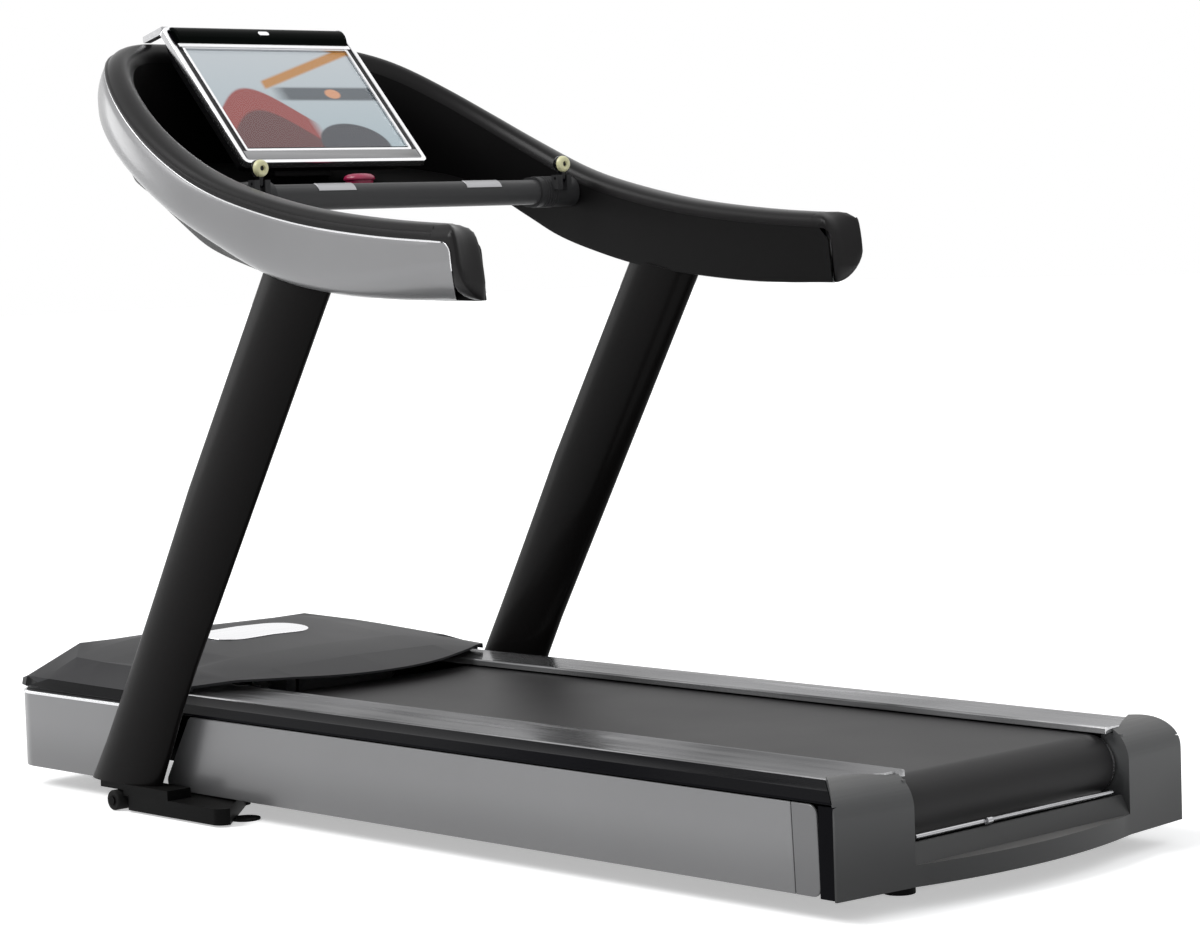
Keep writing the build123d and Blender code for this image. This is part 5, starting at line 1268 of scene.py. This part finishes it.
# ---------------------------------------------------------------- stage
def build_stage():
    """Pale floor, soft studio light and the camera."""
    scene = bpy.context.scene
    scene.view_settings.view_transform = "Standard"
    world = bpy.data.worlds.new("Studio Air")
    scene.world = world
    world.use_nodes = True
    tree = world.node_tree
    tree.nodes.clear()
    path = tree.nodes.new("ShaderNodeLightPath")
    seen = value_math(tree, "MAXIMUM", path.outputs["Is Camera Ray"], path.outputs["Is Glossy Ray"])
    seen = value_math(tree, "MAXIMUM", seen, path.outputs["Is Transmission Ray"])
    backdrop = add_node(tree, "ShaderNodeBackground", Color=(1, 1, 1, 1))
    soft = add_node(tree, "ShaderNodeBackground", Color=(0.96, 0.98, 1, 1), Strength=0.42)
    blend = tree.nodes.new("ShaderNodeMixShader")
    out = tree.nodes.new("ShaderNodeOutputWorld")
    tree.links.new(seen, blend.inputs[0])
    tree.links.new(soft.outputs[0], blend.inputs[1])
    tree.links.new(backdrop.outputs[0], blend.inputs[2])
    tree.links.new(blend.outputs[0], out.inputs[0])

    floor_material, shader = new_material("pale_floor", Roughness=1.0, Specular_IOR_Level=0.0)
    shader.inputs["Base Color"].default_value = (0.86, 0.86, 0.86, 1)
    tree = floor_material.node_tree
    path = tree.nodes.new("ShaderNodeLightPath")
    glow = add_node(tree, "ShaderNodeEmission", Strength=0.45)
    none = add_node(tree, "ShaderNodeEmission", Strength=0.0)
    lift = tree.nodes.new("ShaderNodeMixShader")
    seen = value_math(tree, "MAXIMUM", path.outputs["Is Camera Ray"], path.outputs["Is Glossy Ray"])
    tree.links.new(seen, lift.inputs[0])
    tree.links.new(none.outputs[0], lift.inputs[1])
    tree.links.new(glow.outputs[0], lift.inputs[2])
    both = tree.nodes.new("ShaderNodeAddShader")
    tree.links.new(shader.outputs[0], both.inputs[0])
    tree.links.new(lift.outputs[0], both.inputs[1])
    tree.links.new(both.outputs[0], tree.nodes["Material Output"].inputs["Surface"])
    reach = 40.0
    floor = mesh_piece("studio_floor", [(-reach, -reach, 0), (reach, -reach, 0), (reach, reach, 0),
                                        (-reach, reach, 0)], [(0, 1, 2, 3)], "pale_floor")

    for name, strength, spread, azimuth, elevation in (
            ("key_sun", 2.0, 30, -118, 48), ("fill_sun", 0.55, 70, -15, 35), ("side_sun", 0.5, 60, 75, 55),
            ("front_sun", 0.42, 25, -166, 14)):
        lamp = bpy.data.lights.new(name, "SUN")
        lamp.energy = strength
        lamp.angle = math.radians(spread)
        light = bpy.data.objects.new(name, lamp)
        a, e = math.radians(azimuth), math.radians(elevation)
        away = Vector((math.sin(a) * math.cos(e), -math.cos(a) * math.cos(e), math.sin(e)))
        light.rotation_mode = "QUATERNION"
        light.rotation_quaternion = away.to_track_quat("Z", "Y")
        scene.collection.objects.link(light)

    azimuth, elevation, roll = math.radians(-43.374), math.radians(4.074), math.radians(-1.947)
    distance = 5.8322
    target = Vector((0, -0.14366, 0.63828))
    back = Vector((math.sin(azimuth) * math.cos(elevation), -math.cos(azimuth) * math.cos(elevation),
                   math.sin(elevation)))
    camera_data = bpy.data.cameras.new("view_camera")
    camera_data.lens = 98.37
    camera_data.sensor_width = 36.0
    camera = bpy.data.objects.new("view_camera", camera_data)
    camera.rotation_mode = "QUATERNION"
    level = (-back).to_track_quat("-Z", "Y")
    camera.rotation_quaternion = level @ Matrix.Rotation(roll, 3, "Z").to_quaternion()
    camera.location = target + back * distance
    scene.collection.objects.link(camera)
    scene.camera = camera


# ---------------------------------------------------------------- operators and panel
class BuildStep:
    """What the build steps share: each runs the function that its class names."""

    bl_options = {"REGISTER", "UNDO"}

    def execute(self, context):
        self.build()
        return {"FINISHED"}


class TREADMILL_OT_finishes(BuildStep, bpy.types.Operator):
    """Make every finish of the machine"""

    bl_idname = "treadmill.finishes"
    bl_label = "Finishes"
    build = staticmethod(make_materials)


class TREADMILL_OT_console(BuildStep, bpy.types.Operator):
    """Build the console ring with its rim, lining and arm ends"""

    bl_idname = "treadmill.console"
    bl_label = "Console"
    build = staticmethod(build_console)


class TREADMILL_OT_posts(BuildStep, bpy.types.Operator):
    """Build the two leaning oval posts"""

    bl_idname = "treadmill.posts"
    bl_label = "Posts"
    build = staticmethod(build_posts)


class TREADMILL_OT_grip_bar(BuildStep, bpy.types.Operator):
    """Build the grip bar, its sleeves and its hand sensors"""

    bl_idname = "treadmill.grip_bar"
    bl_label = "Grip Bar"
    build = staticmethod(build_grip_bar)


class TREADMILL_OT_controls(BuildStep, bpy.types.Operator):
    """Build the finger levers and the stop button"""

    bl_idname = "treadmill.controls"
    bl_label = "Controls"
    build = staticmethod(build_controls)


class TREADMILL_OT_display(BuildStep, bpy.types.Operator):
    """Build the display with its lit screen, visor and webs"""

    bl_idname = "treadmill.display"
    bl_label = "Display"
    build = staticmethod(build_display)


class TREADMILL_OT_running_belt(BuildStep, bpy.types.Operator):
    """Build the running belt"""

    bl_idname = "treadmill.running_belt"
    bl_label = "Running Belt"
    build = staticmethod(build_running_belt)


class TREADMILL_OT_rails(BuildStep, bpy.types.Operator):
    """Build the polished foot rails"""

    bl_idname = "treadmill.rails"
    bl_label = "Rails"
    build = staticmethod(build_rails)


class TREADMILL_OT_side_covers(BuildStep, bpy.types.Operator):
    """Build the dark bands and silver side panels"""

    bl_idname = "treadmill.side_covers"
    bl_label = "Side Covers"
    build = staticmethod(build_side_covers)


class TREADMILL_OT_front_end(BuildStep, bpy.types.Operator):
    """Build the shroud, its painted highlight lip, the hood with its painted shade, and its plate"""

    bl_idname = "treadmill.front_end"
    bl_label = "Front End"
    build = staticmethod(build_front_end)


class TREADMILL_OT_rear_end(BuildStep, bpy.types.Operator):
    """Build the rear cap and its bright strip"""

    bl_idname = "treadmill.rear_end"
    bl_label = "Rear End"
    build = staticmethod(build_rear_end)


class TREADMILL_OT_feet(BuildStep, bpy.types.Operator):
    """Build the front feet, floor pads and transport rollers"""

    bl_idname = "treadmill.feet"
    bl_label = "Feet"
    build = staticmethod(build_feet)


class TREADMILL_OT_works(BuildStep, bpy.types.Operator):
    """Finish the frame and the drive inside the deck"""

    bl_idname = "treadmill.works"
    bl_label = "Works"
    build = staticmethod(build_works)


class TREADMILL_OT_stage(BuildStep, bpy.types.Operator):
    """Build the floor, the light and the camera"""

    bl_idname = "treadmill.stage"
    bl_label = "Stage"
    build = staticmethod(build_stage)


STEPS = (
    TREADMILL_OT_finishes,
    TREADMILL_OT_console,
    TREADMILL_OT_posts,
    TREADMILL_OT_grip_bar,
    TREADMILL_OT_controls,
    TREADMILL_OT_display,
    TREADMILL_OT_running_belt,
    TREADMILL_OT_rails,
    TREADMILL_OT_side_covers,
    TREADMILL_OT_front_end,
    TREADMILL_OT_rear_end,
    TREADMILL_OT_feet,
    TREADMILL_OT_works,
    TREADMILL_OT_stage,
)
BUILD_ORDER = [step.bl_idname.split(".")[1] for step in STEPS]


class TREADMILL_PT_sidebar(bpy.types.Panel):
    """Sizes, colours and build steps of the treadmill"""

    bl_idname = "TREADMILL_PT_sidebar"
    bl_label = "Treadmill"
    bl_space_type = "VIEW_3D"
    bl_region_type = "UI"
    bl_category = "Treadmill"

    def draw(self, context):
        layout = self.layout
        sizes = context.scene.treadmill_sizes
        colours = context.scene.treadmill_colours
        for name in ("edge_round", "rim_height", "sleeve_ribs"):
            layout.prop(sizes, name)
        for name in ("silver", "black", "belt"):
            layout.prop(colours, name)
        for label in BUILD_ORDER:
            layout.operator(f"treadmill.{label}")


CLASSES = (TreadmillSizes, TreadmillColours, *STEPS, TREADMILL_PT_sidebar)


def register():
    """Add the add-on's classes and settings."""
    for item in CLASSES:
        bpy.utils.register_class(item)
    bpy.types.Scene.treadmill_sizes = bpy.props.PointerProperty(type=TreadmillSizes)
    bpy.types.Scene.treadmill_colours = bpy.props.PointerProperty(type=TreadmillColours)


def unregister():
    """Take the add-on's classes and settings away."""
    del bpy.types.Scene.treadmill_colours
    del bpy.types.Scene.treadmill_sizes
    for item in reversed(CLASSES):
        bpy.utils.unregister_class(item)


def main():
    """Build the whole machine."""
    register()
    for label in BUILD_ORDER:
        getattr(bpy.ops.treadmill, label)()


if __name__ == "__main__":
    main()
